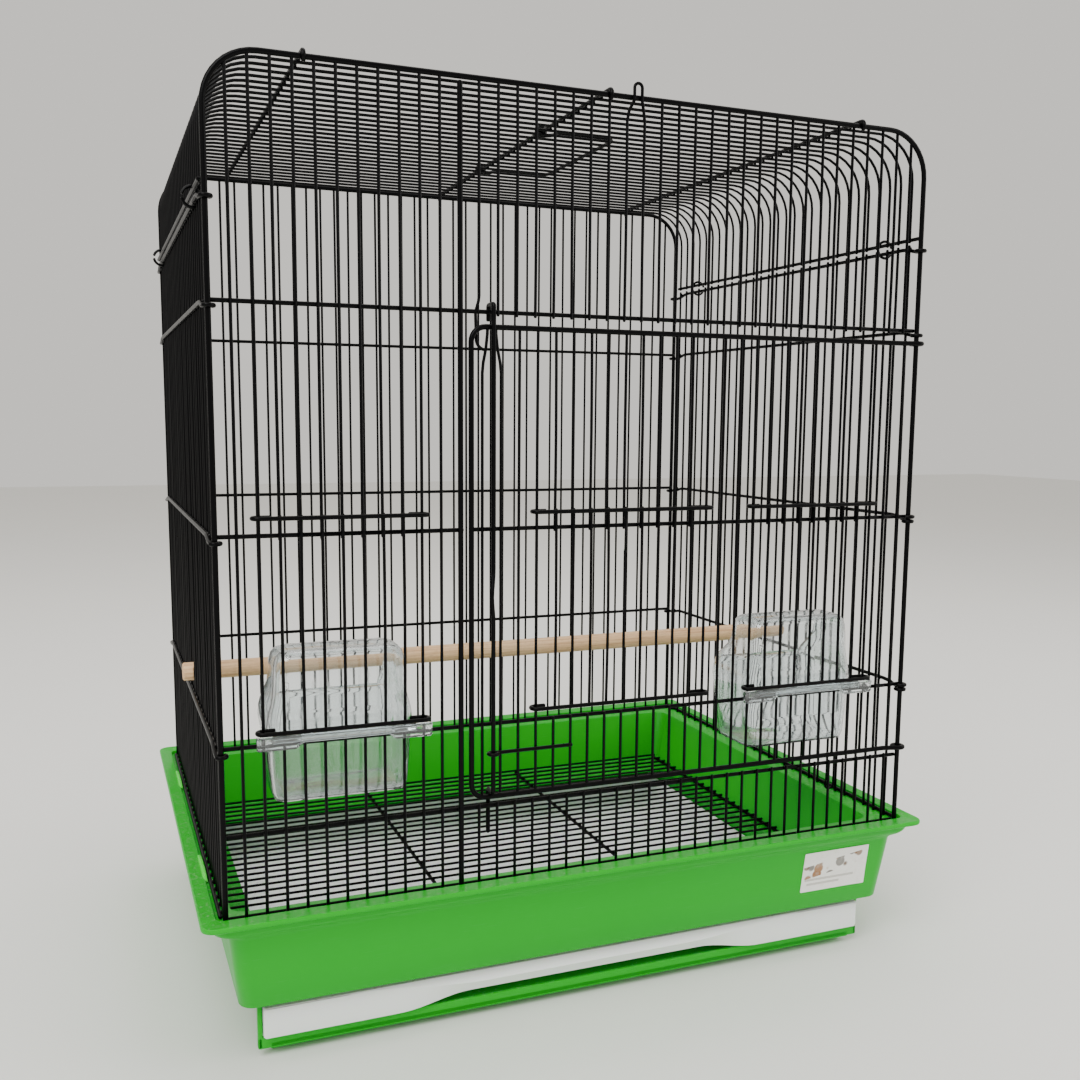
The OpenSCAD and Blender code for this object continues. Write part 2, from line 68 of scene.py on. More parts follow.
THIN = high("roof_wires").z - low("roof_wires").z
BAR = high("roof_edge_bars").z - low("roof_edge_bars").z
FRAME_WIRE = high("main_door_frame").y - low("main_door_frame").y
HALF_W = high("front_frame").x - FRAME_WIRE / 2
FRONT_Y = (low("front_uprights").y + high("front_uprights").y) / 2
BACK_Y = (low("back_uprights").y + high("back_uprights").y) / 2
WIRES_ACROSS = 40
WIRES_DEEP = 30
PITCH = 2 * HALF_W / WIRES_ACROSS
FOOT_Z = low("front_frame").z
ROOF_Z = high("front_frame").z - FRAME_WIRE / 2
SHOULDER_R = high("roof_bends").z - low("roof_bends").z - THIN / 2
BEND_Z = ROOF_Z - SHOULDER_R
RIM_BAR_Z = low("front_crossbars").z + BAR / 2
UPPER_Z = high("front_crossbars").z - BAR / 2
LOW_Z = low("main_door_bars").z + BAR / 2
MIDDLE_Z = high("main_door_bars").z - BAR / 2
SEAM_Z = high("left_side_bars").z - BAR / 2
EDGE_Z = (low("roof_edge_bars").z + high("roof_edge_bars").z) / 2
DOOR_LOW_Z = low("main_door_frame").z + FRAME_WIRE / 2
DOOR_TOP_Z = high("main_door_frame").z - FRAME_WIRE / 2
SILL_Z = DOOR_LOW_Z - 6.5 * MM
DOOR_LEFT_X = low("main_door_frame").x + FRAME_WIRE / 2
FRONT_BAR_Y = low("main_door_bars").y + BAR / 2
BACK_BAR_Y = low("back_crossbars").y + BAR / 2
SIDE_BAR_X = high("right_side_bars").x - BAR / 2
ROD_Z = (low("roof_rods").z + high("roof_rods").z) / 2
DOOR_POST_K = 12
LEFT_DOOR_K = (2, 10)
CENTRE_DOOR_K = (16, 26)
RIGHT_DOOR_K = (29, 37)
DOOR_SHIFT = 2 * MM
RUN = 0.35 * MM                  # play of an eye on the wire it runs on


def wire_x(k):
    """Sideways place of the cage's upright number k."""
    return -HALF_W + k * PITCH


def door_x(k):
    """Sideways place of the main door's upright number k."""
    return wire_x(k) + DOOR_SHIFT


def side_y(j):
    """Place of a side upright or roof wire, counted from the front."""
    return FRONT_Y + j * PITCH


# ---- settings a user would change ------------------------------------------

def hex_linear(code):
    """Linear RGB of an sRGB hex colour."""
    parts = [int(code[i:i + 2], 16) / 255 for i in (1, 3, 5)]
    return tuple(c / 12.92 if c <= 0.04045 else ((c + 0.055) / 1.055) ** 2.4 for c in parts)


def colour_prop(name, description, code):
    """A colour property with its default given as sRGB hex."""
    return FloatVectorProperty(name=name, description=description, subtype="COLOR", size=3, min=0,
        max=1, default=hex_linear(code))


class WireSettings(bpy.types.PropertyGroup):
    """Sizes and finish of the wirework."""
    thin: FloatProperty(name="Thin wire", description="Diameter of the uprights and roof wires",
        default=THIN, unit="LENGTH")
    bar: FloatProperty(name="Cross bar", description="Diameter of the cross bars", default=BAR,
        unit="LENGTH")
    thick: FloatProperty(name="Frame wire", description="Diameter of the frames and posts",
        default=FRAME_WIRE, unit="LENGTH")
    bow: FloatProperty(name="Bow", description="How far a long upright strays from straight",
        default=0.35 * MM, unit="LENGTH")
    coat: colour_prop("Coat", "Colour of the powder coat", "#030304")
    dust: colour_prop("Dust", "Colour of the dust that lies on the wires", "#8c8578")


class MouldingSettings(bpy.types.PropertyGroup):
    """Colours of the moulded parts."""
    green: colour_prop("Base", "Colour of the base", "#00a81c")
    lug: colour_prop("Lugs", "Colour of the lugs on the ledge", "#3cdc36")
    white: colour_prop("Tray", "Colour of the pull-out tray", "#f4f8f6")
    clear: colour_prop("Feeder", "Tint of the clear feeders", "#f1f7f8")
    paper: colour_prop("Label", "Colour of the label's paper", "#f2f1ec")


class PerchSettings(bpy.types.PropertyGroup):
    """The wooden perch."""
    pale: colour_prop("Pale wood", "Colour of the early wood", "#e2bd90")
    dark: colour_prop("Dark wood", "Colour of the late wood", "#c0936a")


class StageSettings(bpy.types.PropertyGroup):
    """Camera, floor and light."""
    eye: FloatVectorProperty(name="Camera", description="Place of the camera", size=3,
        subtype="TRANSLATION", default=(-0.3054, -0.8400, 0.3917))
    turn: FloatVectorProperty(name="Camera turn", description="Pitch, roll and heading", size=3,
        subtype="EULER", default=(-0.126, 0.008, -0.388))
    lens: FloatProperty(name="Lens", description="Focal length", default=38.05, unit="CAMERA")
    floor: colour_prop("Floor", "Colour of the floor and backdrop", "#ecebe7")


# ---- mesh helpers ------------------------------------------------------------

def arc(centre, radius, start, end, steps, first, second):
    """Points on an arc from angle start to end, in degrees from the axis first towards second."""
    points = []
    for i in range(steps + 1):
        a = math.radians(start + (end - start) * i / steps)
        points.append(Vector(centre) + first * (radius * math.cos(a)) + second * (radius * math.sin(a)))
    return points


X, Y, Z = Vector((1, 0, 0)), Vector((0, 1, 0)), Vector((0, 0, 1))


def in_metres(value):
    """Turns lengths in millimetres, nested or not, into metres."""
    if isinstance(value, (tuple, list)):
        return tuple(in_metres(part) for part in value)
    return value * MM


def new_verts(made):
    """The vertices among what an operator made."""
    return [g for g in made["geom"] if isinstance(g, bmesh.types.BMVert)]


def rim_edges(verts):
    """The edges that join neighbouring vertices of one ring."""
    ring = set(verts)
    return list({e for v in verts for e in v.link_edges if e.other_vert(v) in ring})


def extrude_ring(bm, verts, matrix):
    """Extrudes a ring of edges and carries the new ring by matrix."""
    made = bmesh.ops.extrude_edge_only(bm, edges=rim_edges(verts))
    fresh = new_verts(made)
    bmesh.ops.transform(bm, matrix=matrix, verts=fresh)
    return fresh


def cap_ring(bm, verts, centre, outward, radius):
    """Closes a wire's end with the small dome that dipped paint leaves."""
    inward = Matrix.Translation(centre + outward * radius * 0.45) @ Matrix.Scale(0.55,
        4) @ Matrix.Translation(-centre)
    dome = extrude_ring(bm, verts, inward)
    bmesh.ops.edgeloop_fill(bm, edges=rim_edges(dome))


def ring_place(point, tangent, before=None):
    """The matrix of a ring's plane at a point, turned as little as it can be from the last."""
    if before is None:
        turn = Z.rotation_difference(tangent).to_matrix()
    else:
        turn = before[1].rotation_difference(tangent).to_matrix() @ before[0].to_3x3()
    return Matrix.Translation(point) @ turn.to_4x4()


def wire(bm, path, diameter, sides=10, closed=False):
    """Sweeps a round wire along a path of points."""
    piece = bmesh.new()
    points = [Vector(p) for p in path]
    count = len(points)
    if closed:
        tangents = [(points[(i + 1) % count] - points[i - 1]).normalized() for i in range(count)]
    else:
        ends = [points[0]] + points + [points[-1]]
        tangents = [(ends[i + 2] - ends[i]).normalized() for i in range(count)]
    place = ring_place(points[0], tangents[0])
    first = bmesh.ops.create_circle(piece, cap_ends=False, segments=sides, radius=diameter / 2,
        matrix=place)["verts"]
    ring = first
    for i in range(1, count):
        following = ring_place(points[i], tangents[i], (place, tangents[i - 1]))
        ring = extrude_ring(piece, ring, following @ place.inverted())
        place = following
    if closed:
        bmesh.ops.bridge_loops(piece, edges=rim_edges(first) + rim_edges(ring))
    else:
        cap_ring(piece, first, points[0], -tangents[0], diameter / 2)
        cap_ring(piece, ring, points[-1], tangents[-1], diameter / 2)
    join(bm, piece)


def join(bm, piece):
    """Adds a separate closed shell to a piece under construction."""
    bmesh.ops.recalc_face_normals(piece, faces=piece.faces)
    carrier = bpy.data.meshes.new("carrier")
    piece.to_mesh(carrier)
    piece.free()
    bm.from_mesh(carrier)
    bpy.data.meshes.remove(carrier)


def upright(bm, rng, x, y, bottom, top, diameter, bow):
    """A long upright wire, which is never quite straight."""
    lean_x, lean_y = rng.uniform(-bow, bow), rng.uniform(-bow, bow) * 0.5
    mids = [(0.25, 0.7), (0.5, 1.0), (0.78, 0.6)] if top - bottom > 0.1 else []
    path = [(x, y, bottom)]
    for share, weight in mids:
        path.append((x + lean_x * weight, y + lean_y * weight, bottom + (top - bottom) * share))
    path.append((x, y, top))
    wire(bm, path, diameter, sides=8)


def weld(bm, point, size):
    """The small bead where two coated wires are welded."""
    bmesh.ops.create_icosphere(bm, subdivisions=1, radius=size,
        matrix=Matrix.Translation(Vector(point)))


def slab(bm, low_corner, high_corner, bevel=0.0, segments=2):
    """A box with rounded edges, as its own closed shell."""
    piece = bmesh.new()
    size = Vector(high_corner) - Vector(low_corner)
    middle = (Vector(high_corner) + Vector(low_corner)) / 2
    bmesh.ops.create_cube(piece, size=1.0, matrix=Matrix.Translation(middle) @ Matrix.Diagonal((*size,
        1)))
    if bevel:
        bmesh.ops.bevel(piece, geom=list(piece.edges), offset=bevel, offset_type="OFFSET",
            affect="EDGES", segments=segments, profile=0.5, material=-1)
    join(bm, piece)


def smooth_step(value, start, end):
    """Eases from 0 at start to 1 at end."""
    t = max(0.0, min(1.0, (value - start) / (end - start)))
    return t * t * (3 - 2 * t)


def rounded_rect(half_w, half_d, radius, z, middle=(0.0, 0.0), per_corner=8):
    """Points of a rounded rectangle, the same number whatever its size."""
    points = []
    for corner, (sx, sy) in enumerate(((1, 1), (-1, 1), (-1, -1), (1, -1))):
        for step in range(per_corner + 1):
            a = math.radians(90 * corner + 90 * step / per_corner)
            points.append((middle[0] + sx * (half_w - radius) + radius * math.cos(a),
                middle[1] + sy * (half_d - radius) + radius * math.sin(a), z))
    return points


def loft(rings, closed=False, fill=(True, True)):
    """Skins a row of rings that match point for point; closed joins the last to the first."""
    piece = bmesh.new()
    slot = piece.verts.layers.int.new("slot")
    ring = bmesh.ops.create_circle(piece, cap_ends=False, segments=len(rings[0]), radius=1.0)["verts"]
    for number, vert in enumerate(ring):
        vert[slot] = number
        vert.co = rings[0][number]
    first = ring
    for points in rings[1:] + (rings[:1] if closed else []):
        made = bmesh.ops.extrude_edge_only(piece, edges=rim_edges(ring))
        ring = new_verts(made)
        for vert in ring:
            vert.co = points[vert[slot]]
    if closed:
        bmesh.ops.remove_doubles(piece, verts=piece.verts, dist=1e-6)
    else:
        for wanted, end in zip(fill, (first, ring)):
            if wanted:
                bmesh.ops.edgeloop_fill(piece, edges=rim_edges(end))
    bmesh.ops.recalc_face_normals(piece, faces=piece.faces)
    return piece


def finish_piece(name, bm, material, body, nodes, sharp=38):
    """Turns a finished bmesh into an object that rides a body and stands for its CAD nodes."""
    mesh = bpy.data.meshes.new(name)
    bm.to_mesh(mesh)
    bm.free()
    mesh.materials.append(material)
    mesh.shade_smooth()
    mesh.set_sharp_from_angle(angle=math.radians(sharp))
    piece = bpy.data.objects.new(name, mesh)
    bpy.context.scene.collection.objects.link(piece)
    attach(piece, body)
    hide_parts(*nodes)
    return piece


# ---- materials -----------------------------------------------------------------

def add_node(tree, kind, inputs=None, stops=None, **settings):
    """Adds a shader node with its settings, ramp stops, values and links."""
    node = tree.nodes.new("ShaderNode" + kind)
    for name, value in settings.items():
        setattr(node, name, value)
    for socket, value in (inputs or {}).items():
        if isinstance(value, bpy.types.NodeSocket):
            tree.links.new(value, node.inputs[socket])
        else:
            node.inputs[socket].default_value = value
    if stops:
        ramp = node.color_ramp
        while len(ramp.elements) < len(stops):
            ramp.elements.new(0.5)
        for element, (place, colour) in zip(ramp.elements, stops):
            element.position = place
            element.color = (*colour, 1) if len(colour) == 3 else colour
    return node


def new_material(name):
    """An empty material with its output node."""
    found = bpy.data.materials.get(name)
    if found:
        return found, None, None
    material = bpy.data.materials.new(name)
    material.use_nodes = True
    tree = material.node_tree
    tree.nodes.clear()
    output = add_node(tree, "OutputMaterial")
    return material, tree, output


NONE, FULL = (0, 0, 0), (1, 1, 1)       # the two ends of a mask
MIX_A, MIX_B = 6, 7                     # a colour Mix node's two colours


def powder_coated_steel():
    """Steel wire with a black powder coat: semi-gloss, a faint orange peel, dust on its top."""
    material, tree, output = new_material("powder_coated_steel")
    if tree is None:
        return material
    wires = bpy.context.scene.cage_wires
    place = add_node(tree, "TexCoord")
    # orange peel of about 0.6 mm
    peel = add_node(tree, "TexNoise", {"Vector": place.outputs["Object"], "Scale": 1600.0,
        "Detail": 2.0})
    # dust gathers in patches of about 12 mm, on what faces up
    patch = add_node(tree, "TexNoise", {"Vector": place.outputs["Object"], "Scale": 80.0,
        "Detail": 4.0})
    facing = add_node(tree, "SeparateXYZ", {"Vector": place.outputs["Normal"]})
    upward = add_node(tree, "Math", {0: facing.outputs["Z"], 1: 0.45}, operation="SUBTRACT",
        use_clamp=True)
    dusty = add_node(tree, "Math", {0: upward.outputs[0], 1: patch.outputs["Fac"]},
        operation="MULTIPLY", use_clamp=True)
    amount = add_node(tree, "Math", {0: dusty.outputs[0], 1: 0.05}, operation="MULTIPLY",
        use_clamp=True)
    colour = add_node(tree, "Mix", {"Factor": amount.outputs[0], MIX_A: (*wires.coat, 1),
        MIX_B: (*wires.dust, 1)}, data_type="RGBA")
    rough = add_node(tree, "MapRange", {"Value": patch.outputs["Fac"], "To Min": 0.24, "To Max": 0.36})
    bump = add_node(tree, "Bump", {"Height": peel.outputs["Fac"], "Strength": 0.2, "Distance": 0.00006})
    shader = add_node(tree, "BsdfPrincipled", {"Base Color": colour.outputs[2],
        "Roughness": rough.outputs[0], "Normal": bump.outputs[0], "Specular IOR Level": 0.08,
        "IOR": 1.5})
    tree.links.new(shader.outputs[0], output.inputs["Surface"])
    return material


def moulded_polypropylene(name, colour, grime, rough=0.34, under=0.12):
    """Injection-moulded polypropylene: satin, slightly waxy, fine scuffs and dust on ledges."""
    material, tree, output = new_material(name)
    if tree is None:
        return material
    place = add_node(tree, "TexCoord")
    # spark-eroded mould texture, drawn at 0.9 mm so that it shows
    grain = add_node(tree, "TexNoise", {"Vector": place.outputs["Object"], "Scale": 1100.0,
        "Detail": 3.0})
    # uneven flow and handling marks of about 60 mm
    cloud = add_node(tree, "TexNoise", {"Vector": place.outputs["Object"], "Scale": 16.0, "Detail": 5.0,
        "Roughness": 0.6})
    # hairline scuffs, 0.5 mm wide and about 20 mm long
    drawn = add_node(tree, "Mapping", {"Vector": place.outputs["Object"], "Rotation": (0.2, 0.1, 0.3),
        "Scale": (50.0, 300.0, 2000.0)})
    scuff = add_node(tree, "TexNoise", {"Vector": drawn.outputs[0], "Scale": 1.0, "Detail": 2.0})
    scuff_mask = add_node(tree, "ValToRGB", {"Fac": scuff.outputs["Fac"]},
        stops=((0.66, NONE), (0.74, FULL)))
    facing = add_node(tree, "SeparateXYZ", {"Vector": place.outputs["Normal"]})
    upward = add_node(tree, "Math", {0: facing.outputs["Z"], 1: 0.6}, operation="SUBTRACT",
        use_clamp=True)
    speck = add_node(tree, "TexNoise", {"Vector": place.outputs["Object"], "Scale": 420.0,
        "Detail": 6.0})
    speck_mask = add_node(tree, "ValToRGB", {"Fac": speck.outputs["Fac"]},
        stops=((0.52, NONE), (0.72, FULL)))
    dust = add_node(tree, "Math", {0: upward.outputs[0], 1: speck_mask.outputs[0]},
        operation="MULTIPLY", use_clamp=True)
    shade = add_node(tree, "MapRange", {"Value": cloud.outputs["Fac"], "To Min": 0.0, "To Max": 0.22})
    deep = tuple(c * 0.78 for c in colour)
    body = add_node(tree, "Mix", {"Factor": shade.outputs[0], MIX_A: (*colour, 1), MIX_B: (*deep, 1)},
        data_type="RGBA")
    marks = add_node(tree, "Math", {0: scuff_mask.outputs[0], 1: 0.05}, operation="MULTIPLY")
    pale = tuple(min(1, c * 0.6 + 0.36) for c in colour)
    scuffed = add_node(tree, "Mix", {"Factor": marks.outputs[0], MIX_A: body.outputs[2],
        MIX_B: (*pale, 1)}, data_type="RGBA")
    dirty = add_node(tree, "Mix", {"Factor": dust.outputs[0], MIX_A: scuffed.outputs[2],
        MIX_B: (*grime, 1)}, data_type="RGBA")
    rough_map = add_node(tree, "MapRange", {"Value": cloud.outputs["Fac"], "To Min": rough - 0.06,
        "To Max": rough + 0.10})
    bump = add_node(tree, "Bump", {"Height": grain.outputs["Fac"], "Strength": 0.18,
        "Distance": 0.00008})
    shader = add_node(tree, "BsdfPrincipled", {"Base Color": dirty.outputs[2],
        "Roughness": rough_map.outputs[0], "Normal": bump.outputs[0], "IOR": 1.49,
        "Specular IOR Level": 0.2, "Subsurface Weight": under, "Subsurface Radius": (0.6, 1.0, 0.4),
        "Subsurface Scale": 0.004})
    tree.links.new(shader.outputs[0], output.inputs["Surface"])
    return material


def clear_polystyrene():
    """Clear moulded polystyrene: glassy, water-clear, faint haze and dried water marks."""
    material, tree, output = new_material("clear_polystyrene")
    if tree is None:
        return material
    tint = bpy.context.scene.cage_mouldings.clear
    place = add_node(tree, "TexCoord")
    # dried marks of about 8 mm
    mark = add_node(tree, "TexNoise", {"Vector": place.outputs["Object"], "Scale": 120.0,
        "Detail": 5.0})
    haze = add_node(tree, "MapRange", {"Value": mark.outputs["Fac"], "From Min": 0.5, "From Max": 0.8,
        "To Min": 0.02, "To Max": 0.12})
    # slow ripple of the moulding, 15 mm
    ripple = add_node(tree, "TexNoise", {"Vector": place.outputs["Object"], "Scale": 40.0,
        "Detail": 0.0})
    bump = add_node(tree, "Bump", {"Height": ripple.outputs["Fac"], "Strength": 0.3,
        "Distance": 0.0010})
    shader = add_node(tree, "BsdfPrincipled", {"Base Color": (*tint, 1), "Roughness": haze.outputs[0],
        "Normal": bump.outputs[0], "IOR": 1.59, "Transmission Weight": 0.97})
    tree.links.new(shader.outputs[0], output.inputs["Surface"])
    return material


def raw_softwood():
    """A turned softwood dowel, unvarnished: fine grain along it, pores and handling grey."""
    material, tree, output = new_material("raw_softwood")
    if tree is None:
        return material
    wood = bpy.context.scene.cage_perch
    place = add_node(tree, "TexCoord")
    # grain lines 1.2 mm apart and 60 mm long
    along = add_node(tree, "Mapping", {"Vector": place.outputs["Object"],
        "Scale": (16.0, 800.0, 800.0)})
    grain = add_node(tree, "TexNoise", {"Vector": along.outputs[0], "Scale": 1.0, "Detail": 4.0,
        "Distortion": 0.4})
    # pores, 0.3 mm across and 4 mm long
    fine = add_node(tree, "Mapping", {"Vector": place.outputs["Object"],
        "Scale": (250.0, 3300.0, 3300.0)})
    pore = add_node(tree, "TexNoise", {"Vector": fine.outputs[0], "Scale": 1.0, "Detail": 2.0})
    pore_mask = add_node(tree, "ValToRGB", {"Fac": pore.outputs["Fac"]},
        stops=((0.56, NONE), (0.68, FULL)))
    tone = add_node(tree, "ValToRGB", {"Fac": grain.outputs["Fac"]},
        stops=((0.3, tuple(wood.dark)), (0.62, tuple(wood.pale))))
    pores = add_node(tree, "Math", {0: pore_mask.outputs[0], 1: 0.4}, operation="MULTIPLY")
    dotted = add_node(tree, "Mix", {"Factor": pores.outputs[0], MIX_A: tone.outputs[0],
        MIX_B: (*hex_linear("#8a6242"), 1)}, data_type="RGBA")
    # worn patches of about 50 mm
    wear = add_node(tree, "TexNoise", {"Vector": place.outputs["Object"], "Scale": 22.0, "Detail": 4.0})
    grey = add_node(tree, "MapRange", {"Value": wear.outputs["Fac"], "From Min": 0.45, "From Max": 0.8,
        "To Min": 0.0, "To Max": 0.35})
    colour = add_node(tree, "Mix", {"Factor": grey.outputs[0], MIX_A: dotted.outputs[2],
        MIX_B: (*hex_linear("#b9a58c"), 1)}, data_type="RGBA")
    bump = add_node(tree, "Bump", {"Height": grain.outputs["Fac"], "Strength": 0.35,
        "Distance": 0.0002})
    shader = add_node(tree, "BsdfPrincipled", {"Base Color": colour.outputs[2], "Roughness": 0.62,
        "Normal": bump.outputs[0]})
    tree.links.new(shader.outputs[0], output.inputs["Surface"])
    return material


def printed_paper():
    """Gloss paper label: white, with a soft abstract print of brown and grey spots."""
    material, tree, output = new_material("printed_paper")
    if tree is None:
        return material
    paper = bpy.context.scene.cage_mouldings.paper
    lo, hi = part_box("blank_label")
    middle = (lo + hi) / 2
    place = add_node(tree, "TexCoord")
    centred = add_node(tree, "VectorMath", {0: place.outputs["Object"], 1: tuple(middle)},
        operation="SUBTRACT")
    parts = add_node(tree, "SeparateXYZ", {"Vector": centred.outputs[0]})
    # a rising row of blotches about 11 mm apart, above the middle
    flat = add_node(tree, "CombineXYZ", {"X": parts.outputs["X"], "Z": parts.outputs["Z"]})
    spots = add_node(tree, "TexVoronoi", {"Vector": flat.outputs[0], "Scale": 120.0,
        "Randomness": 0.75})
    spot = add_node(tree, "ValToRGB", {"Fac": spots.outputs["Distance"]},
        stops=((0.42, FULL), (0.5, NONE)))
    climb = add_node(tree, "Math", {0: parts.outputs["X"], 1: -0.16, 2: -3.5 * MM},
        operation="MULTIPLY_ADD")
    row = add_node(tree, "Math", {0: parts.outputs["Z"], 1: climb.outputs[0]}, operation="ADD")
    shown = spot.outputs[0]
    for axis, around, reach in ((row.outputs[0], 0.0, 5.0 * MM), (parts.outputs["X"], 0.0, 27 * MM)):
        inside = add_node(tree, "Math", {0: axis, 1: around, 2: reach}, operation="COMPARE")
        shown = add_node(tree, "Math", {0: shown, 1: inside.outputs[0]},
            operation="MULTIPLY").outputs[0]
    hue = add_node(tree, "SeparateColor", {"Color": spots.outputs["Color"]})
    ink = add_node(tree, "ValToRGB", {"Fac": hue.outputs[0]},
        stops=((0.0, hex_linear("#5d4a3c")), (0.3, hex_linear("#a5713f")), (0.6, hex_linear("#8b8883")),
        (0.9, hex_linear("#4a382c"))))
    printed = add_node(tree, "Mix", {"Factor": shown, MIX_A: (*paper, 1), MIX_B: ink.outputs[0]},
        data_type="RGBA")
    # two pale grey stripes lower down
    for middle_x, half_x, middle_z in ((-4 * MM, 21 * MM, -6.2 * MM), (-9 * MM, 14 * MM, -9.8 * MM)):
        across = add_node(tree, "Math", {0: parts.outputs["X"], 1: middle_x, 2: half_x},
            operation="COMPARE")
        level = add_node(tree, "Math", {0: parts.outputs["Z"], 1: middle_z, 2: 0.9 * MM},
            operation="COMPARE")
        stripe = add_node(tree, "Math", {0: across.outputs[0], 1: level.outputs[0]},
            operation="MULTIPLY")
        faint = add_node(tree, "Math", {0: stripe.outputs[0], 1: 0.6}, operation="MULTIPLY")
        printed = add_node(tree, "Mix", {"Factor": faint.outputs[0], MIX_A: printed.outputs[2],
            MIX_B: (*hex_linear("#9a948c"), 1)}, data_type="RGBA")
    scuff = add_node(tree, "TexNoise", {"Vector": place.outputs["Object"], "Scale": 260.0,
        "Detail": 5.0})
    worn = add_node(tree, "MapRange", {"Value": scuff.outputs["Fac"], "From Min": 0.5, "From Max": 0.75,
        "To Min": 0.0, "To Max": 0.4})
    colour = add_node(tree, "Mix", {"Factor": worn.outputs[0], MIX_A: printed.outputs[2],
        MIX_B: (*hex_linear("#d9d5ca"), 1)}, data_type="RGBA")
    shader = add_node(tree, "BsdfPrincipled", {"Base Color": colour.outputs[2], "Roughness": 0.4})
    tree.links.new(shader.outputs[0], output.inputs["Surface"])
    return material


def green_moulding():
    """The base's green polypropylene."""
    return moulded_polypropylene("green_polypropylene", bpy.context.scene.cage_mouldings.green,
        hex_linear("#8fa57f"))


def white_moulding():
    """The tray's white polypropylene."""
    return moulded_polypropylene("white_polypropylene", bpy.context.scene.cage_mouldings.white,
        hex_linear("#b4b0a4"), rough=0.3, under=0.2)


def finish_wires(name, bm, body, *nodes):
    """Finishes a piece of black wirework."""
    return finish_piece(name, bm, powder_coated_steel(), body, nodes)


# ---- panels ---------------------------------------------------------------------

def outline_path(y):
    """A panel's rounded outline: up one post, over the roof line and down the other."""
    left = (-HALF_W + SHOULDER_R, y, BEND_Z)
    right = (HALF_W - SHOULDER_R, y, BEND_Z)
    path = [(-HALF_W, y, FOOT_Z), (-HALF_W, y, (FOOT_Z + BEND_Z) / 2)]
    path += arc(left, SHOULDER_R, 180, 90, 10, X, Z)
    path += arc(right, SHOULDER_R, 90, 0, 10, X, Z)
    path += [(HALF_W, y, (FOOT_Z + BEND_Z) / 2), (HALF_W, y, FOOT_Z)]
    return path


def under_outline(x):
    """Top of an upright that ends under the outline wire."""
    over = abs(x) - (HALF_W - SHOULDER_R)
    reach = SHOULDER_R - FRAME_WIRE / 2 + 0.4 * MM
    if over <= 0:
        return ROOF_Z - SHOULDER_R + reach
    return BEND_Z + math.sqrt(reach ** 2 - over ** 2)


def weld_row(bm, xs, y, z, size=1.25 * MM):
    """Weld beads where a cross bar meets its uprights."""
    for x in xs:
        weld(bm, (x, y, z), size)


class CAGE_OT_front_panel(bpy.types.Operator):
    """Front panel: outline with shoulders, door post, uprights and cross bars"""
    bl_idname = "cage.front_panel"
    bl_label = "Front panel"

    def execute(self, context):
        wires = context.scene.cage_wires
        rng = random.Random(11)
        bm = bmesh.new()
        wire(bm, outline_path(FRONT_Y), wires.thick, sides=14)
        post_y = (low("front_frame").y + wires.thick / 2)
        wire(bm, [(wire_x(DOOR_POST_K), post_y, FOOT_Z),
            (wire_x(DOOR_POST_K), post_y, (FOOT_Z + ROOF_Z) / 2),
            (wire_x(DOOR_POST_K), post_y, ROOF_Z - wires.thick)], wires.thick, sides=12)
        finish_wires("front_outline", bm, "cage", "front_frame")

        bm = bmesh.new()
        for k in range(1, WIRES_ACROSS):
            x = wire_x(k)
            top = under_outline(x)
            if k == DOOR_POST_K:
                continue
            if k in HOOK_K:
                top = HOOK_FOOT_Z
            if k > DOOR_POST_K:
                upright(bm, rng, x, FRONT_Y, FOOT_Z, SILL_Z + 2.2 * MM, wires.thin, 0)
                if k == DOOR_POST_K + 1:
                    self.door_stop(bm, x, top, wires.thin)
                else:
                    upright(bm, rng, x, FRONT_Y, UPPER_Z - 2.2 * MM, top, wires.thin, wires.bow)
            elif LEFT_DOOR_K[0] < k < LEFT_DOOR_K[1]:
                upright(bm, rng, x, FRONT_Y, FOOT_Z, LOW_Z + 1.0 * MM, wires.thin, 0)
                upright(bm, rng, x, FRONT_Y, MIDDLE_Z - 2.2 * MM, top, wires.thin, wires.bow)
            else:
                upright(bm, rng, x, FRONT_Y, FOOT_Z, top, wires.thin, wires.bow)
        finish_wires("front_wires", bm, "cage", "front_uprights")

        bm = bmesh.new()
        reach = HALF_W - wires.thick / 2 + 0.6 * MM
        short = wire_x(DOOR_POST_K) + 2.2 * MM
        every = [wire_x(k) for k in range(1, WIRES_ACROSS)]
        meet_y = FRONT_Y + wires.thin / 2
        for z, end in ((RIM_BAR_Z, reach), (SILL_Z, reach), (LOW_Z, short), (MIDDLE_Z, short),
                (UPPER_Z, reach)):
            thick = wires.bar
            if z == RIM_BAR_Z:
                # the lowest bar is a thin one, down behind the tub's flange
                thick = 1.6 * MM
                z = FOOT_Z + thick / 2
            wire(bm, [(-reach, FRONT_BAR_Y, z), (-reach / 2, FRONT_BAR_Y, z),
                (end - 0.1, FRONT_BAR_Y, z), (end, FRONT_BAR_Y, z)], thick, sides=12)
            weld_row(bm, [x for x in every if x < end], meet_y, z)
        finish_wires("front_bars", bm, "cage", "front_crossbars")
        return {"FINISHED"}

    @staticmethod
    def door_stop(bm, x, top, thin):
        """The upright beside the door's corner, bent in behind the door to stop it."""
        inside = FRONT_Y + 3.5 * MM
        path = [(x, FRONT_Y, top), (x, FRONT_Y, (top + UPPER_Z) / 2), (x, FRONT_Y, UPPER_Z + 9 * MM),
            (x, FRONT_Y + 1.2 * MM, UPPER_Z + 6 * MM), (x - 0.4 * MM, inside + 2.2 * MM, UPPER_Z),
            (x - 0.4 * MM, inside + 1.6 * MM, UPPER_Z - 8 * MM)]
        path += arc((x + 6 * MM, inside + 1.0 * MM, UPPER_Z - 16 * MM), 6.4 * MM, 180, 265, 6, X, Z)
        wire(bm, path, thin, sides=8)


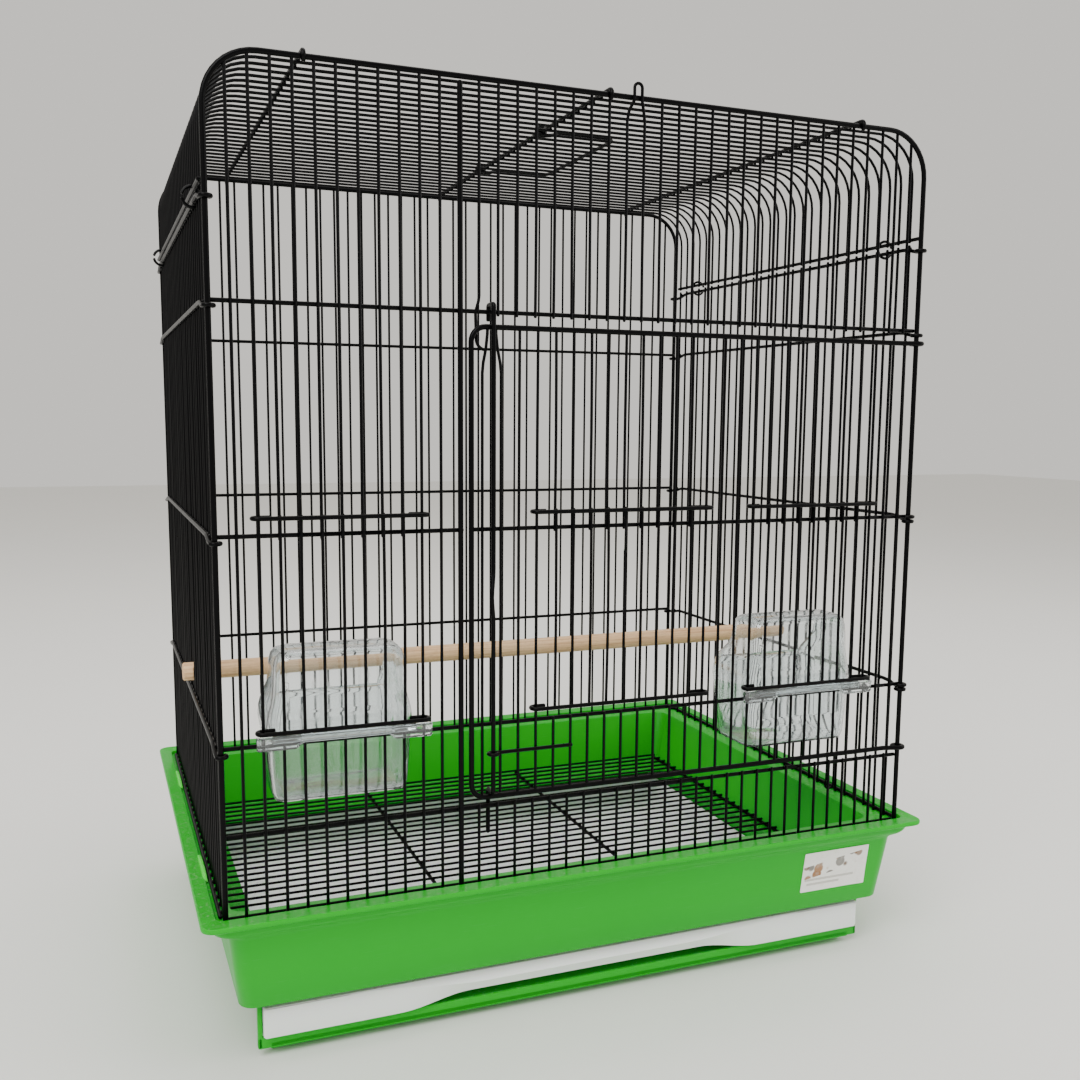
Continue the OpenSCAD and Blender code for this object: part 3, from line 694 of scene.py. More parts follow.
class CAGE_OT_back_panel(bpy.types.Operator):
    """Back panel: outline, uprights and cross bars"""
    bl_idname = "cage.back_panel"
    bl_label = "Back panel"

    def execute(self, context):
        wires = context.scene.cage_wires
        rng = random.Random(12)
        bm = bmesh.new()
        wire(bm, outline_path(BACK_Y), wires.thick, sides=14)
        finish_wires("back_outline", bm, "cage", "back_frame")
        bm = bmesh.new()
        for k in range(1, WIRES_ACROSS):
            x = wire_x(k)
            upright(bm, rng, x, BACK_Y, FOOT_Z, under_outline(x), wires.thin, wires.bow)
        finish_wires("back_wires", bm, "cage", "back_uprights")
        bm = bmesh.new()
        reach = HALF_W - wires.thick / 2 + 0.6 * MM
        for z in (RIM_BAR_Z, LOW_Z, MIDDLE_Z, UPPER_Z):
            wire(bm, [(-reach, BACK_BAR_Y, z), (0, BACK_BAR_Y, z), (reach, BACK_BAR_Y, z)], wires.bar,
                sides=10)
            weld_row(bm, [wire_x(k) for k in range(1, WIRES_ACROSS)], BACK_Y - wires.thin / 2, z)
        finish_wires("back_bars", bm, "cage", "back_crossbars")
        return {"FINISHED"}


def hooked_bar(side, z, diameter):
    """A side panel's bar, whose ends drop a little and hook round the corner posts."""
    x = side * SIDE_BAR_X
    drop = 3.3 * MM
    turn_r = FRAME_WIRE / 2 + diameter / 2 + 0.15 * MM
    path = []
    for y, way in ((FRONT_Y, -1), (BACK_Y, 1)):
        post = (side * HALF_W, y, z - drop)
        loop = arc(post, turn_r, 45, 215, 9, X * side, Y * way)
        run_in = [(x, y - way * 7 * MM, z - drop * 0.85), (x, y - way * 16 * MM, z - drop * 0.15),
            (x, y - way * 22 * MM, z)]
        ends = list(reversed(loop)) + run_in
        path += ends if way < 0 else list(reversed(ends))
    return path


class CAGE_OT_side_panels(bpy.types.Operator):
    """Left and right panels: uprights, and bars hooked round the corner posts"""
    bl_idname = "cage.side_panels"
    bl_label = "Side panels"

    def execute(self, context):
        wires = context.scene.cage_wires
        for side, name, seed in ((-1, "left", 21), (1, "right", 22)):
            rng = random.Random(seed)
            bm = bmesh.new()
            for j in range(1, WIRES_DEEP):
                upright(bm, rng, side * HALF_W, side_y(j), FOOT_Z, SEAM_Z + 1.8 * MM, wires.thin,
                    wires.bow)
            finish_wires(f"{name}_wires", bm, "cage", f"{name}_side_wires")
            bm = bmesh.new()
            meet_x = side * (HALF_W + wires.thin / 2)
            for z in (RIM_BAR_Z, LOW_Z, MIDDLE_Z, UPPER_Z, SEAM_Z):
                if z == RIM_BAR_Z:
                    end = -FRONT_Y - 5 * MM
                    path = [(side * SIDE_BAR_X, -end, z), (side * SIDE_BAR_X, 0, z),
                        (side * SIDE_BAR_X, end, z)]
                else:
                    path = hooked_bar(side, z, wires.bar)
                wire(bm, path, wires.bar, sides=12)
                for j in range(1, WIRES_DEEP):
                    weld(bm, (meet_x, side_y(j), z), 1.25 * MM)
            finish_wires(f"{name}_bars", bm, "cage", f"{name}_side_bars")
        return {"FINISHED"}


class CAGE_OT_roof(bpy.types.Operator):
    """Roof: wires bent over both shoulders, edge bars, and the three rods over them"""
    bl_idname = "cage.roof"
    bl_label = "Roof"

    def execute(self, context):
        wires = context.scene.cage_wires
        rng = random.Random(31)
        foot = EDGE_Z - 2.0 * MM
        bm = bmesh.new()
        for j in range(1, WIRES_DEEP):
            y = side_y(j)
            sag = rng.uniform(-0.3, 0.3) * MM
            left = (-HALF_W + SHOULDER_R, y, BEND_Z)
            right = (HALF_W - SHOULDER_R, y, BEND_Z)
            path = [(-HALF_W, y, foot)] + arc(left, SHOULDER_R, 180, 90, 8, X, Z)
            path += [(-HALF_W * 0.4, y + sag, ROOF_Z), (HALF_W * 0.3, y - sag, ROOF_Z)]
            path += arc(right, SHOULDER_R, 90, 0, 8, X, Z) + [(HALF_W, y, foot)]
            wire(bm, path, wires.thin, sides=8)
        finish_wires("roof_sheet", bm, "cage", "roof_wires", "roof_bends", "roof_side_legs")
        bm = bmesh.new()
        end = -FRONT_Y - 4 * MM
        for side in (-1, 1):
            x = side * SIDE_BAR_X
            wire(bm, [(x, -end, EDGE_Z), (x, 0, EDGE_Z), (x, end, EDGE_Z)], wires.bar, sides=12)
            for j in range(1, WIRES_DEEP):
                weld(bm, (side * (HALF_W + wires.thin / 2), side_y(j), EDGE_Z), 1.2 * MM)
        finish_wires("roof_edges", bm, "cage", "roof_edge_bars")
        bm = bmesh.new()
        turn_r = ROD_Z - ROOF_Z
        for x in (low("roof_rods").x + BAR / 2, 0.0, high("roof_rods").x - BAR / 2):
            path = list(reversed(arc((x, FRONT_Y, ROOF_Z), turn_r, 90, 235, 8, Y, Z)))
            path += [(x, 0, ROD_Z)]
            path += arc((x, BACK_Y, ROOF_Z), turn_r, 90, -55, 8, Y, Z)
            wire(bm, path, wires.bar, sides=12)
            for j in range(1, WIRES_DEEP):
                weld(bm, (x, side_y(j), ROOF_Z + wires.thin / 2 + 0.3 * MM), 1.15 * MM)
        finish_wires("roof_rod_set", bm, "cage", "roof_rods")
        return {"FINISHED"}


HOOK_K = (21, 22)
HOOK_FOOT_Z = ROOF_Z - 14 * MM


class CAGE_OT_small_wires(bpy.types.Operator):
    """Small wirework: joining rings, the hook over the top bar and the clip at the foot"""
    bl_idname = "cage.small_wires"
    bl_label = "Rings, hook and clip"

    def execute(self, context):
        wires = context.scene.cage_wires
        bm = bmesh.new()
        ring_lo, ring_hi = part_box("joining_rings")
        ring_y = ring_hi.y - wires.thin / 2
        radius = (ring_hi.z - ring_lo.z - wires.thin) / 2
        for side in (-1, 1):
            for y in (-ring_y, ring_y):
                centre = (side * SIDE_BAR_X, y, (ring_lo.z + ring_hi.z) / 2)
                wire(bm, arc(centre, radius, 15, 350, 22, X * side, Z), wires.thin, sides=8)
        finish_wires("joining_ring_set", bm, "cage", "joining_rings")

        bm = bmesh.new()
        hook_lo, hook_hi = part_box("top_hook")
        front = (hook_lo.y + hook_hi.y) / 2
        middle = (hook_lo.x + hook_hi.x) / 2
        half = 2.6 * MM
        top = hook_hi.z - wires.thin / 2 - half
        left_x, right_x = wire_x(HOOK_K[0]), wire_x(HOOK_K[1])
        path = [(left_x, FRONT_Y, HOOK_FOOT_Z), (left_x + 1 * MM, FRONT_Y - 0.4 * MM,
            HOOK_FOOT_Z + 6 * MM), (middle - half, front, ROOF_Z - 2 * MM)]
        path += arc((middle, front, top), half, 180, 0, 8, X, Z)
        path += [(middle + half, front, ROOF_Z - 2 * MM),
            (right_x - 1 * MM, FRONT_Y - 0.4 * MM, HOOK_FOOT_Z + 6 * MM),
            (right_x, FRONT_Y, HOOK_FOOT_Z)]
        wire(bm, path, wires.thin, sides=10)
        finish_wires("top_bar_hook", bm, "cage", "top_hook")

        bm = bmesh.new()
        clip_lo, clip_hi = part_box("tub_clip")
        y = (clip_lo.y + clip_hi.y) / 2
        stem = clip_hi.x - wires.thin / 2
        curl = (clip_hi.x - clip_lo.x - wires.thin) / 2
        curl_z = clip_lo.z + wires.thin / 2 + curl
        path = [(stem, y, clip_hi.z + 10 * MM), (stem, y, curl_z + 6 * MM)]
        path += arc((stem - curl, y, curl_z), curl, 0, -215, 12, X, Z)
        wire(bm, path, wires.thin, sides=8)
        finish_wires("foot_clip", bm, "cage", "tub_clip")
        return {"FINISHED"}


# ---- doors ------------------------------------------------------------------------

def looped_bar(x1, x2, z, y, guide_y, diameter):
    """A lifting door's bar, whose ends loop round the two guide uprights."""
    radius = (guide_y - y) * 0.5 + 1.55 * MM
    middle_y = y + radius
    path = []
    for x, way in ((x1, -1), (x2, 1)):
        turn = [(x + way * radius * 0.86 * math.cos(math.radians(a)),
            middle_y + radius * math.sin(math.radians(a)), z) for a in range(-90, 100, 19)]
        tail = [(x - way * 7 * MM, guide_y + 1.9 * MM + diameter / 2, z)]
        ends = [(x - way * 6 * MM, y, z)] + turn + tail
        path += list(reversed(ends)) if way < 0 else ends
    return path


def lifting_door(context, name, node, body, x1, x2, count, seed, kink=None):
    """A lifting door between two guides, with its own thin wires between looped bars."""
    wires = context.scene.cage_wires
    rng = random.Random(seed)
    lo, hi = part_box(node)
    bar_y = lo.y + wires.bar / 2
    wire_y = bar_y + wires.bar / 2 + wires.thin / 2
    bottom, top = lo.z + wires.bar / 2, hi.z - wires.bar / 2
    bm = bmesh.new()
    for z in (bottom, top):
        wire(bm, looped_bar(x1, x2, z, bar_y, FRONT_Y, wires.bar), wires.bar, sides=12)
    step = (x2 - x1) / (count + 1)
    for i in range(1, count + 1):
        x = x1 + i * step
        if kink == i:
            path = [(x, wire_y, bottom - 1.4 * MM), (x, wire_y, bottom + 0.55 * (top - bottom)),
                (x, wire_y, top - 27 * MM), (x - 0.8 * MM, wire_y - 2.5 * MM, top - 25 * MM),
                (x - 3.2 * MM, wire_y - 7.5 * MM, top - 18 * MM),
                (x - 3.4 * MM, wire_y - 8 * MM, top - 15 * MM),
                (x - 0.8 * MM, wire_y - 3 * MM, top - 7 * MM), (x, wire_y, top - 4 * MM),
                (x, wire_y, top + 1.4 * MM)]
            wire(bm, path, wires.thin, sides=8)
        else:
            upright(bm, rng, x, wire_y, bottom - 1.4 * MM, top + 1.4 * MM, wires.thin, wires.bow * 1.8)
        for z in (bottom, top):
            weld(bm, (x, bar_y + wires.bar / 2, z), 1.2 * MM)
    return finish_wires(name, bm, body, node)


class CAGE_OT_lifting_doors(bpy.types.Operator):
    """The three lifting doors that run on the uprights"""
    bl_idname = "cage.lifting_doors"
    bl_label = "Lifting doors"

    def execute(self, context):
        first, last = LEFT_DOOR_K
        lifting_door(context, "left_lifting_door", "left_feeder_door", "feeder_door_left",
            wire_x(first), wire_x(last), last - first - 1, 41)
        first, last = CENTRE_DOOR_K
        lifting_door(context, "centre_lifting_door", "centre_door", "door_centre", door_x(first),
            door_x(last), last - first - 1, 42, kink=5)
        first, last = RIGHT_DOOR_K
        lifting_door(context, "right_lifting_door", "right_feeder_door", "feeder_door_right",
            door_x(first), door_x(last), last - first - 1, 43)
        return {"FINISHED"}


class CAGE_OT_main_door(bpy.types.Operator):
    """Main door: one bent frame wire, its uprights and bars, all looped round the corner post"""
    bl_idname = "cage.main_door"
    bl_label = "Main door"

    def execute(self, context):
        wires = context.scene.cage_wires
        rng = random.Random(51)
        corner_r = 9 * MM
        post = Vector((HALF_W, FRONT_Y, 0))
        bm = bmesh.new()
        loop_r = wires.thick + RUN
        path = []
        for z, corner, span in ((DOOR_LOW_Z, DOOR_LOW_Z + corner_r, (270, 180)),
                (DOOR_TOP_Z, DOOR_TOP_Z - corner_r, (180, 90))):
            loop = arc(post + Z * z, loop_r, 165, -120, 15, X, Y)
            run_in = [(HALF_W - 7 * MM, FRONT_Y - 1.6 * MM, z), (HALF_W - 13 * MM, FRONT_Y, z)]
            # the eye starts behind the post, turns round it and leaves at the front
            eye = loop + run_in
            bend = arc((DOOR_LEFT_X + corner_r, FRONT_Y, corner), corner_r, span[0], span[1], 7, X, Z)
            if z == DOOR_LOW_Z:
                path += eye + [(0, FRONT_Y, z)] + bend
            else:
                path += [(DOOR_LEFT_X, FRONT_Y, (DOOR_LOW_Z + DOOR_TOP_Z) / 2)]
                path += bend + [(0, FRONT_Y, z)] + list(reversed(eye))
        wire(bm, path, wires.thick, sides=14)
        finish_wires("door_outline", bm, "main_door", "main_door_frame", "main_door_hinge_eyes")

        bm = bmesh.new()
        bottom = DOOR_LOW_Z + wires.thick / 2 - 0.5 * MM
        top = DOOR_TOP_Z - wires.thick / 2 + 0.5 * MM
        for k in range(DOOR_POST_K + 1, WIRES_ACROSS):
            x = door_x(k)
            in_door = any(a < k < b for a, b in (CENTRE_DOOR_K, RIGHT_DOOR_K))
            if k in (DOOR_POST_K + 1, DOOR_POST_K + 2):
                # the two uprights beside the latch rod are pinched towards it at the top
                way = 1 if k == DOOR_POST_K + 1 else -1
                wire(bm, [(x, FRONT_Y, bottom + 1.2 * MM), (x, FRONT_Y, (bottom + top) / 2),
                    (x, FRONT_Y, top - 26 * MM), (x + way * 0.6 * MM, FRONT_Y, top - 20 * MM),
                    (x + way * 2.2 * MM, FRONT_Y, top - 12 * MM),
                    (x + way * 3.2 * MM, FRONT_Y, top - 3 * MM), (x + way * 3.3 * MM, FRONT_Y, top)],
                    wires.thin, sides=8)
            elif in_door:
                upright(bm, rng, x, FRONT_Y, bottom, LOW_Z + 1.0 * MM, wires.thin, 0)
                upright(bm, rng, x, FRONT_Y, MIDDLE_Z - 1.8 * MM, top, wires.thin, wires.bow)
            else:
                upright(bm, rng, x, FRONT_Y, bottom, top, wires.thin, wires.bow)
        finish_wires("door_wires", bm, "main_door", "main_door_wires")

        bm = bmesh.new()
        eye_r = wires.thick / 2 + RUN + wires.bar / 2
        start = DOOR_LEFT_X + wires.thick / 2 - 0.6 * MM
        for z in (LOW_Z, MIDDLE_Z):
            path = [(start, FRONT_BAR_Y, z), (0, FRONT_BAR_Y, z), (HALF_W - 10 * MM, FRONT_BAR_Y, z),
                (HALF_W - 5 * MM, FRONT_BAR_Y + 0.4 * MM, z)]
            path += arc(post + Z * z, eye_r, 112, -150, 14, X, Y)
            wire(bm, path, wires.bar, sides=12)
            weld_row(bm, [door_x(k) for k in range(DOOR_POST_K + 1, WIRES_ACROSS)],
                FRONT_Y + wires.thin / 2, z)
        finish_wires("door_bars", bm, "main_door", "main_door_bars")
        return {"FINISHED"}


class CAGE_OT_latch(bpy.types.Operator):
    """The latch rod with its hook, finger kink and bolt, and the guide eye it slides in"""
    bl_idname = "cage.latch"
    bl_label = "Latch"

    def execute(self, context):
        wires = context.scene.cage_wires
        lo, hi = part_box("latch_rod")
        rod = 2.8 * MM
        x = hi.x - rod / 2
        kink_x = lo.x + rod / 2
        kink_y = lo.y + rod / 2
        out_y = kink_y + 5 * MM
        in_y = hi.y - rod / 2
        hook_z = hi.z - rod / 2
        jog_z = DOOR_LOW_Z + wires.thick / 2 + rod / 2 + 0.3 * MM
        turn = 1.6 * MM
        kink_z = 283 * MM
        bm = bmesh.new()
        path = [(x, in_y, hook_z - 9 * MM)]
        path += arc((x, in_y - turn, hook_z - turn), turn, 0, 90, 5, Y, Z)
        path += arc((x, out_y + turn, hook_z - turn), turn, 90, 180, 5, Y, Z)
        path += [(x, out_y, 0.5 * (hook_z + kink_z)), (x, out_y, kink_z + 17 * MM),
            (x - 0.4 * MM, out_y - 0.8 * MM, kink_z + 13 * MM),
            (kink_x + 0.5 * MM, kink_y + 0.8 * MM, kink_z + 4 * MM), (kink_x, kink_y, kink_z),
            (kink_x + 0.5 * MM, kink_y + 0.8 * MM, kink_z - 4 * MM),
            (x - 0.4 * MM, out_y - 0.8 * MM, kink_z - 13 * MM), (x, out_y, kink_z - 17 * MM),
            (x, out_y, 0.5 * (kink_z + jog_z))]
        path += arc((x, out_y + turn, jog_z + turn), turn, 180, 270, 5, Y, Z)
        path += arc((x, in_y - turn, jog_z - turn), turn, 90, 0, 5, Y, Z)
        path += [(x, in_y, lo.z + 0.6 * MM)]
        wire(bm, path, rod, sides=12)
        finish_wires("latch_bolt", bm, "latch", "latch_rod")

        bm = bmesh.new()
        lo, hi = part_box("latch_guide")
        z = (lo.z + hi.z) / 2
        bar_y = FRONT_Y - wires.thin - 0.4 * MM
        eye_r = rod / 2 + RUN + 1.25 * MM
        path = [(hi.x, bar_y, z), (x + 12 * MM, bar_y, z), (x + 6 * MM, bar_y - 0.2 * MM, z)]
        path += arc((x, out_y, z), eye_r, 48, 340, 14, X, Y)
        wire(bm, path, 2.4 * MM, sides=10)
        for k in range(DOOR_POST_K + 2, DOOR_POST_K + 7):
            weld(bm, (door_x(k), FRONT_Y - wires.thin / 2, z), 1.15 * MM)
        finish_wires("latch_eye", bm, "main_door", "latch_guide")
        return {"FINISHED"}


class CAGE_OT_carry_handle(bpy.types.Operator):
    """The folding bail, coiled at both ends round the middle roof rod"""
    bl_idname = "cage.carry_handle"
    bl_label = "Carry handle"

    def execute(self, context):
        wires = context.scene.cage_wires
        lo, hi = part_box("carry_handle")
        half = (hi.y - lo.y - wires.bar) / 2
        leg = hi.x - wires.bar / 2
        coil_r = wires.bar + RUN
        corner_r = 7 * MM
        turns, steps = 1.5, 20
        path = []
        for way in (-1, 1):
            coil = []
            for i in range(steps + 1):
                a = math.radians(90 + 360 * turns * i / steps)
                shift = (i / steps - 1) * turns * wires.bar * 1.06
                coil.append((coil_r * math.cos(a), way * (half + 2.2 * MM + shift),
                    ROD_Z + coil_r * math.sin(a)))
            # leaves the coil underneath and eases up to the level of the rod
            run_out = [(coil_r + 3 * MM, way * (half + 2.2 * MM), ROD_Z - coil_r * 0.75),
                (coil_r + 12 * MM, way * half, ROD_Z)]
            bend = arc((leg - corner_r, way * (half - corner_r), ROD_Z), corner_r, 90, 0, 6, X, Y * way)
            part = coil + run_out + bend
            path += part if way < 0 else list(reversed(part))
        bm = bmesh.new()
        wire(bm, path, wires.bar, sides=12)
        finish_wires("handle_bail", bm, "handle", "carry_handle")
        return {"FINISHED"}


# ---- perch and feeders ------------------------------------------------------------

class CAGE_OT_perch(bpy.types.Operator):
    """The wooden perch, grooved near both ends to grip the side wires"""
    bl_idname = "cage.perch"
    bl_label = "Perch"

    def execute(self, context):
        lo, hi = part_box("perch")
        radius = (hi.z - lo.z) / 2
        centre = (lo + hi) / 2
        neck = PITCH / 2 - THIN / 2 - 0.1 * MM
        bevel = 0.8 * MM
        stations = [(lo.x, 0.86, False), (lo.x + bevel, 1.0, False)]
        for x in (-HALF_W, HALF_W):
            for dx, cut in ((-1.31, False), (-1.3, True), (1.3, True), (1.31, False)):
                stations.append((x + dx * MM, 1.0, cut))
            if x < 0:
                stations += [(x + s * 2 * HALF_W, 1.0, False) for s in (0.2, 0.4, 0.6, 0.8)]
        stations += [(hi.x - bevel, 1.0, False), (hi.x, 0.86, False)]
        rings = []
        for x, share, cut in stations:
            ring = []
            for i in range(48):
                a = math.tau * (i + 0.5) / 48
                dy = radius * share * math.cos(a)
                if cut:
                    dy = max(-neck, min(neck, dy))
                ring.append((x, centre.y + dy, centre.z + radius * share * math.sin(a)))
            rings.append(ring)
        bm = bmesh.new()
        join(bm, loft(rings))
        finish_piece("perch_dowel", bm, raw_softwood(), "cage", ["perch"], 50)
        return {"FINISHED"}


FEEDER_FRONT = FRONT_BAR_Y + BAR / 2 + 1.0 * MM
FLANGE_HALF = 52.3 * MM


def feeder_levels(back, bottom):
    """Outline of a feeder at each height: half width, front, back, corner radius, height."""
    rows = ((36.0, 8.0, 11.0, 6.0, 0.3), (40.0, 3.2, 6.6, 8.0, 1.6), (41.4, 1.6, 5.2, 9.0, 6.0),
        (42.6, 0.9, 3.4, 9.0, 22.0), (43.4, 0.6, 1.6, 9.0, 39.5), (44.4, 0.2, 0.8, 9.0, 46.5),
        (43.6, 0.0, 0.4, 9.0, 52.5), (42.4, 0.0, 0.6, 9.0, 57.0), (41.4, 0.0, 3.0, 9.0, 61.0),
        (40.6, 0.0, 9.0, 9.0, 66.0), (40.2, 0.0, 15.0, 9.0, 71.0), (40.0, 0.0, 18.5, 9.0, 76.0),
        (39.6, 0.4, 19.5, 9.0, 84.0), (38.4, 1.4, 20.5, 8.5, 88.5), (36.0, 3.6, 23.0, 7.0, 91.3),
        (32.0, 7.0, 27.0, 5.0, 92.5))
    return [(half * MM, FEEDER_FRONT + near * MM, back - far * MM, radius * MM, bottom + z * MM)
        for half, near, far, radius, z in rows]


def flange_section(dx, x, low_z, high_z):
    """Section of the flange in front of the panel; its two ends hang lower as stops."""
    tab = 1.0 - smooth_step(abs(dx), FLANGE_HALF - 22 * MM, FLANGE_HALF - 27 * MM)
    end = max(0.0, abs(dx) - FLANGE_HALF + 1.0 * MM)
    bottom = low_z - tab * 3.4 * MM + end * 0.8
    near, far = FRONT_Y - 5.6 * MM + end * 0.3, FRONT_Y - 2.0 * MM
    lip = 0.5 * MM
    return [(x + dx, far, high_z - lip), (x + dx, far - lip, high_z), (x + dx, near + lip, high_z),
        (x + dx, near, high_z - lip), (x + dx, near, high_z - 1.5 * MM),
        (x + dx, near + 0.6 * MM, high_z - 2.0 * MM), (x + dx, near + 0.6 * MM, bottom + 1.2 * MM),
        (x + dx, near + 0.2 * MM, bottom + 0.7 * MM), (x + dx, near + 0.6 * MM, bottom),
        (x + dx, far - lip, bottom), (x + dx, far, bottom + lip)]


def feeder_shell(bm, x, lo, hi, wall):
    """Hooded cup of clear plastic, open to the cage above the cup's back wall."""
    levels = feeder_levels(hi.y, lo.z)
    rings = [rounded_rect(half_w, (far - near) / 2, radius, z, (x, (near + far) / 2), 6) for half_w,
        near, far, radius, z in levels]
    piece = loft(rings)
    # the bird's way in: from the cup's back lip up into the hood's roof
    mouth_low, mouth_high = lo.z + 57.5 * MM, lo.z + 86.5 * MM
    mouth_half, mouth_near = 33.5 * MM, FEEDER_FRONT + 22 * MM
    for place, normal in (((x - mouth_half, 0, 0), X), ((x + mouth_half, 0, 0), X),
            ((0, 0, mouth_low), Z), ((0, 0, mouth_high), Z), ((0, mouth_near, 0), Y)):
        geom = list(piece.verts) + list(piece.edges) + list(piece.faces)
        bmesh.ops.bisect_plane(piece, geom=geom, dist=1e-6, plane_co=place, plane_no=normal)
    opening = []
    for face in piece.faces:
        c = face.calc_center_median()
        if abs(c.x - x) < mouth_half and mouth_low < c.z < mouth_high and c.y > mouth_near:
            opening.append(face)
    bmesh.ops.delete(piece, geom=opening, context="FACES")
    bmesh.ops.recalc_face_normals(piece, faces=piece.faces)
    bmesh.ops.solidify(piece, geom=list(piece.faces), thickness=wall)
    join(bm, piece)
    # neck through the panel and the flange in front of it
    neck_low, neck_high = LOW_Z + BAR / 2 + 0.35 * MM, LOW_Z + BAR / 2 + 5.2 * MM
    slab(bm, (x - 43 * MM, FRONT_Y - 2.4 * MM, neck_low),
        (x + 43 * MM, FEEDER_FRONT + 1.2 * MM, neck_high), 0.5 * MM)
    stations = [FLANGE_HALF, FLANGE_HALF - 0.3 * MM, FLANGE_HALF - 1.0 * MM, FLANGE_HALF - 12 * MM]
    stations += [FLANGE_HALF - (21 + i) * MM for i in range(8)] + [12 * MM]
    stations = [-d for d in stations] + stations[::-1]
    join(bm, loft([flange_section(dx, x, neck_low, neck_high) for dx in stations]))


class CAGE_OT_feeders(bpy.types.Operator):
    """The two clear hooded feeders, each hung over a bar by its flange"""
    bl_idname = "cage.feeders"
    bl_label = "Feeders"

    def execute(self, context):
        for node, body in (("left_feeder", "cage"), ("right_feeder", "main_door")):
            lo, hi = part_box(node)
            bm = bmesh.new()
            feeder_shell(bm, (lo.x + hi.x) / 2, lo, hi, 1.7 * MM)
            finish_piece(f"{node}_cup", bm, clear_polystyrene(), body, [node], 50)
        return {"FINISHED"}


# ---- base -------------------------------------------------------------------------

SKIRT_LOW = (232.7, 176.5, 39.6)          # half width, half depth and height, mm
SKIRT_DRAFT = (6.8 / 58.4, 10 / 58.4)     # how far each side leans out as it rises


def skirt_at(z):
    """Half width and half depth of the tub's sloping skirt at a height, all in millimetres."""
    rise = z - SKIRT_LOW[2]
    return SKIRT_LOW[0] + rise * SKIRT_DRAFT[0], SKIRT_LOW[1] + rise * SKIRT_DRAFT[1]


def tub_profile():
    """Section of the tub's wall, from the skirt's foot round the rim, down the well and back."""
    rim_w, rim_d, top = (size / MM for size in high("base_tub"))
    ledge = top - 3.3
    floor_z = 53
    wall, hidden = 2.4, 1.4                  # where it shows, and in the hollow
    foot_z = SKIRT_LOW[2]
    # outlines: half width, half depth, and the middle where it is off centre
    rim, band, inner = (rim_w, rim_d), (rim_w - 8, rim_d - 8), (245.6, 183.4)
    foot, waist, head = SKIRT_LOW[:2], skirt_at(foot_z + 24), skirt_at(ledge - 12)
    well = (231, 166, (-4, -1))
    floor = (224.1, 160, (-5.6, 0))
    shelf = (212.5, 136.5, (-6, -13.5))
    # outline, how far outside it, corner radius, height
    rows = [
        (foot, -wall * 0.8, 8, foot_z),
        (foot, -0.4, 9.6, foot_z),
        (foot, 0.1, 10, foot_z + 0.6),
        (waist, 0, 11, foot_z + 24),
        (head, 0, 12, ledge - 12),
        # channel that the cage stands in, rounded underneath
        (head, 0.5, 12, ledge - 10.6),
        (head, (2.2, 1.2), 12, ledge - 9.0),
        (band, (-1.6, -0.9), 10, ledge - 7.6),
        (band, -0.1, 9, ledge - 6.4),
        (band, 0.7, 8, ledge - 4.6),
        (band, 1.2, 7, ledge - 0.6),
        (band, 1.6, 7, ledge + 0.1),
        # flange
        (rim, -1.0, 8, ledge - 0.1),
        (rim, -0.2, 8, ledge + 0.4),
        (rim, 0, 8, ledge + 1.2),
        (rim, 0, 8, top - 0.9),
        (rim, -0.25, 8, top - 0.3),
        (rim, -0.9, 7.5, top),
        (rim, -1.6, 7, top - 0.25),
        (inner, 0.9, 5.4, top - 0.35),
        (inner, 0.2, 5, top - 0.7),
        (inner, 0, 5, top - 1.3),
        (inner, -0.1, 5, ledge + 0.3),
        (inner, -0.5, 5, ledge - 0.05),
        # well, its floor and the opening in it, then back inside the wall
        (well, 2.0, 11, ledge - 0.05),
        (well, 0.6, 10, ledge - 0.6),
        (well, 0, 10, ledge - 2),
        (floor, 0.3, 8, floor_z + 1.5),
        (floor, -1.2, 7, floor_z),
        (shelf, 0.5, 3, floor_z),
        (shelf, 0, 3, floor_z - 0.6),
        (shelf, 0, 3, floor_z - wall),
        (floor, hidden, 9, floor_z - wall),
        (floor, hidden + 0.4, 10, floor_z + 4),
        (well, hidden, 12, ledge - hidden),
        (head, -hidden, 10, ledge - hidden - 1),
        (foot, -hidden, 8, foot_z + 0.8)]
    levels = []
    for (half_w, half_d, *middle), out, radius, z in rows:
        out_w, out_d = out if isinstance(out, tuple) else (out, out)
        levels.append((half_w + out_w, half_d + out_d, radius, z, *middle))
    return in_metres(levels)


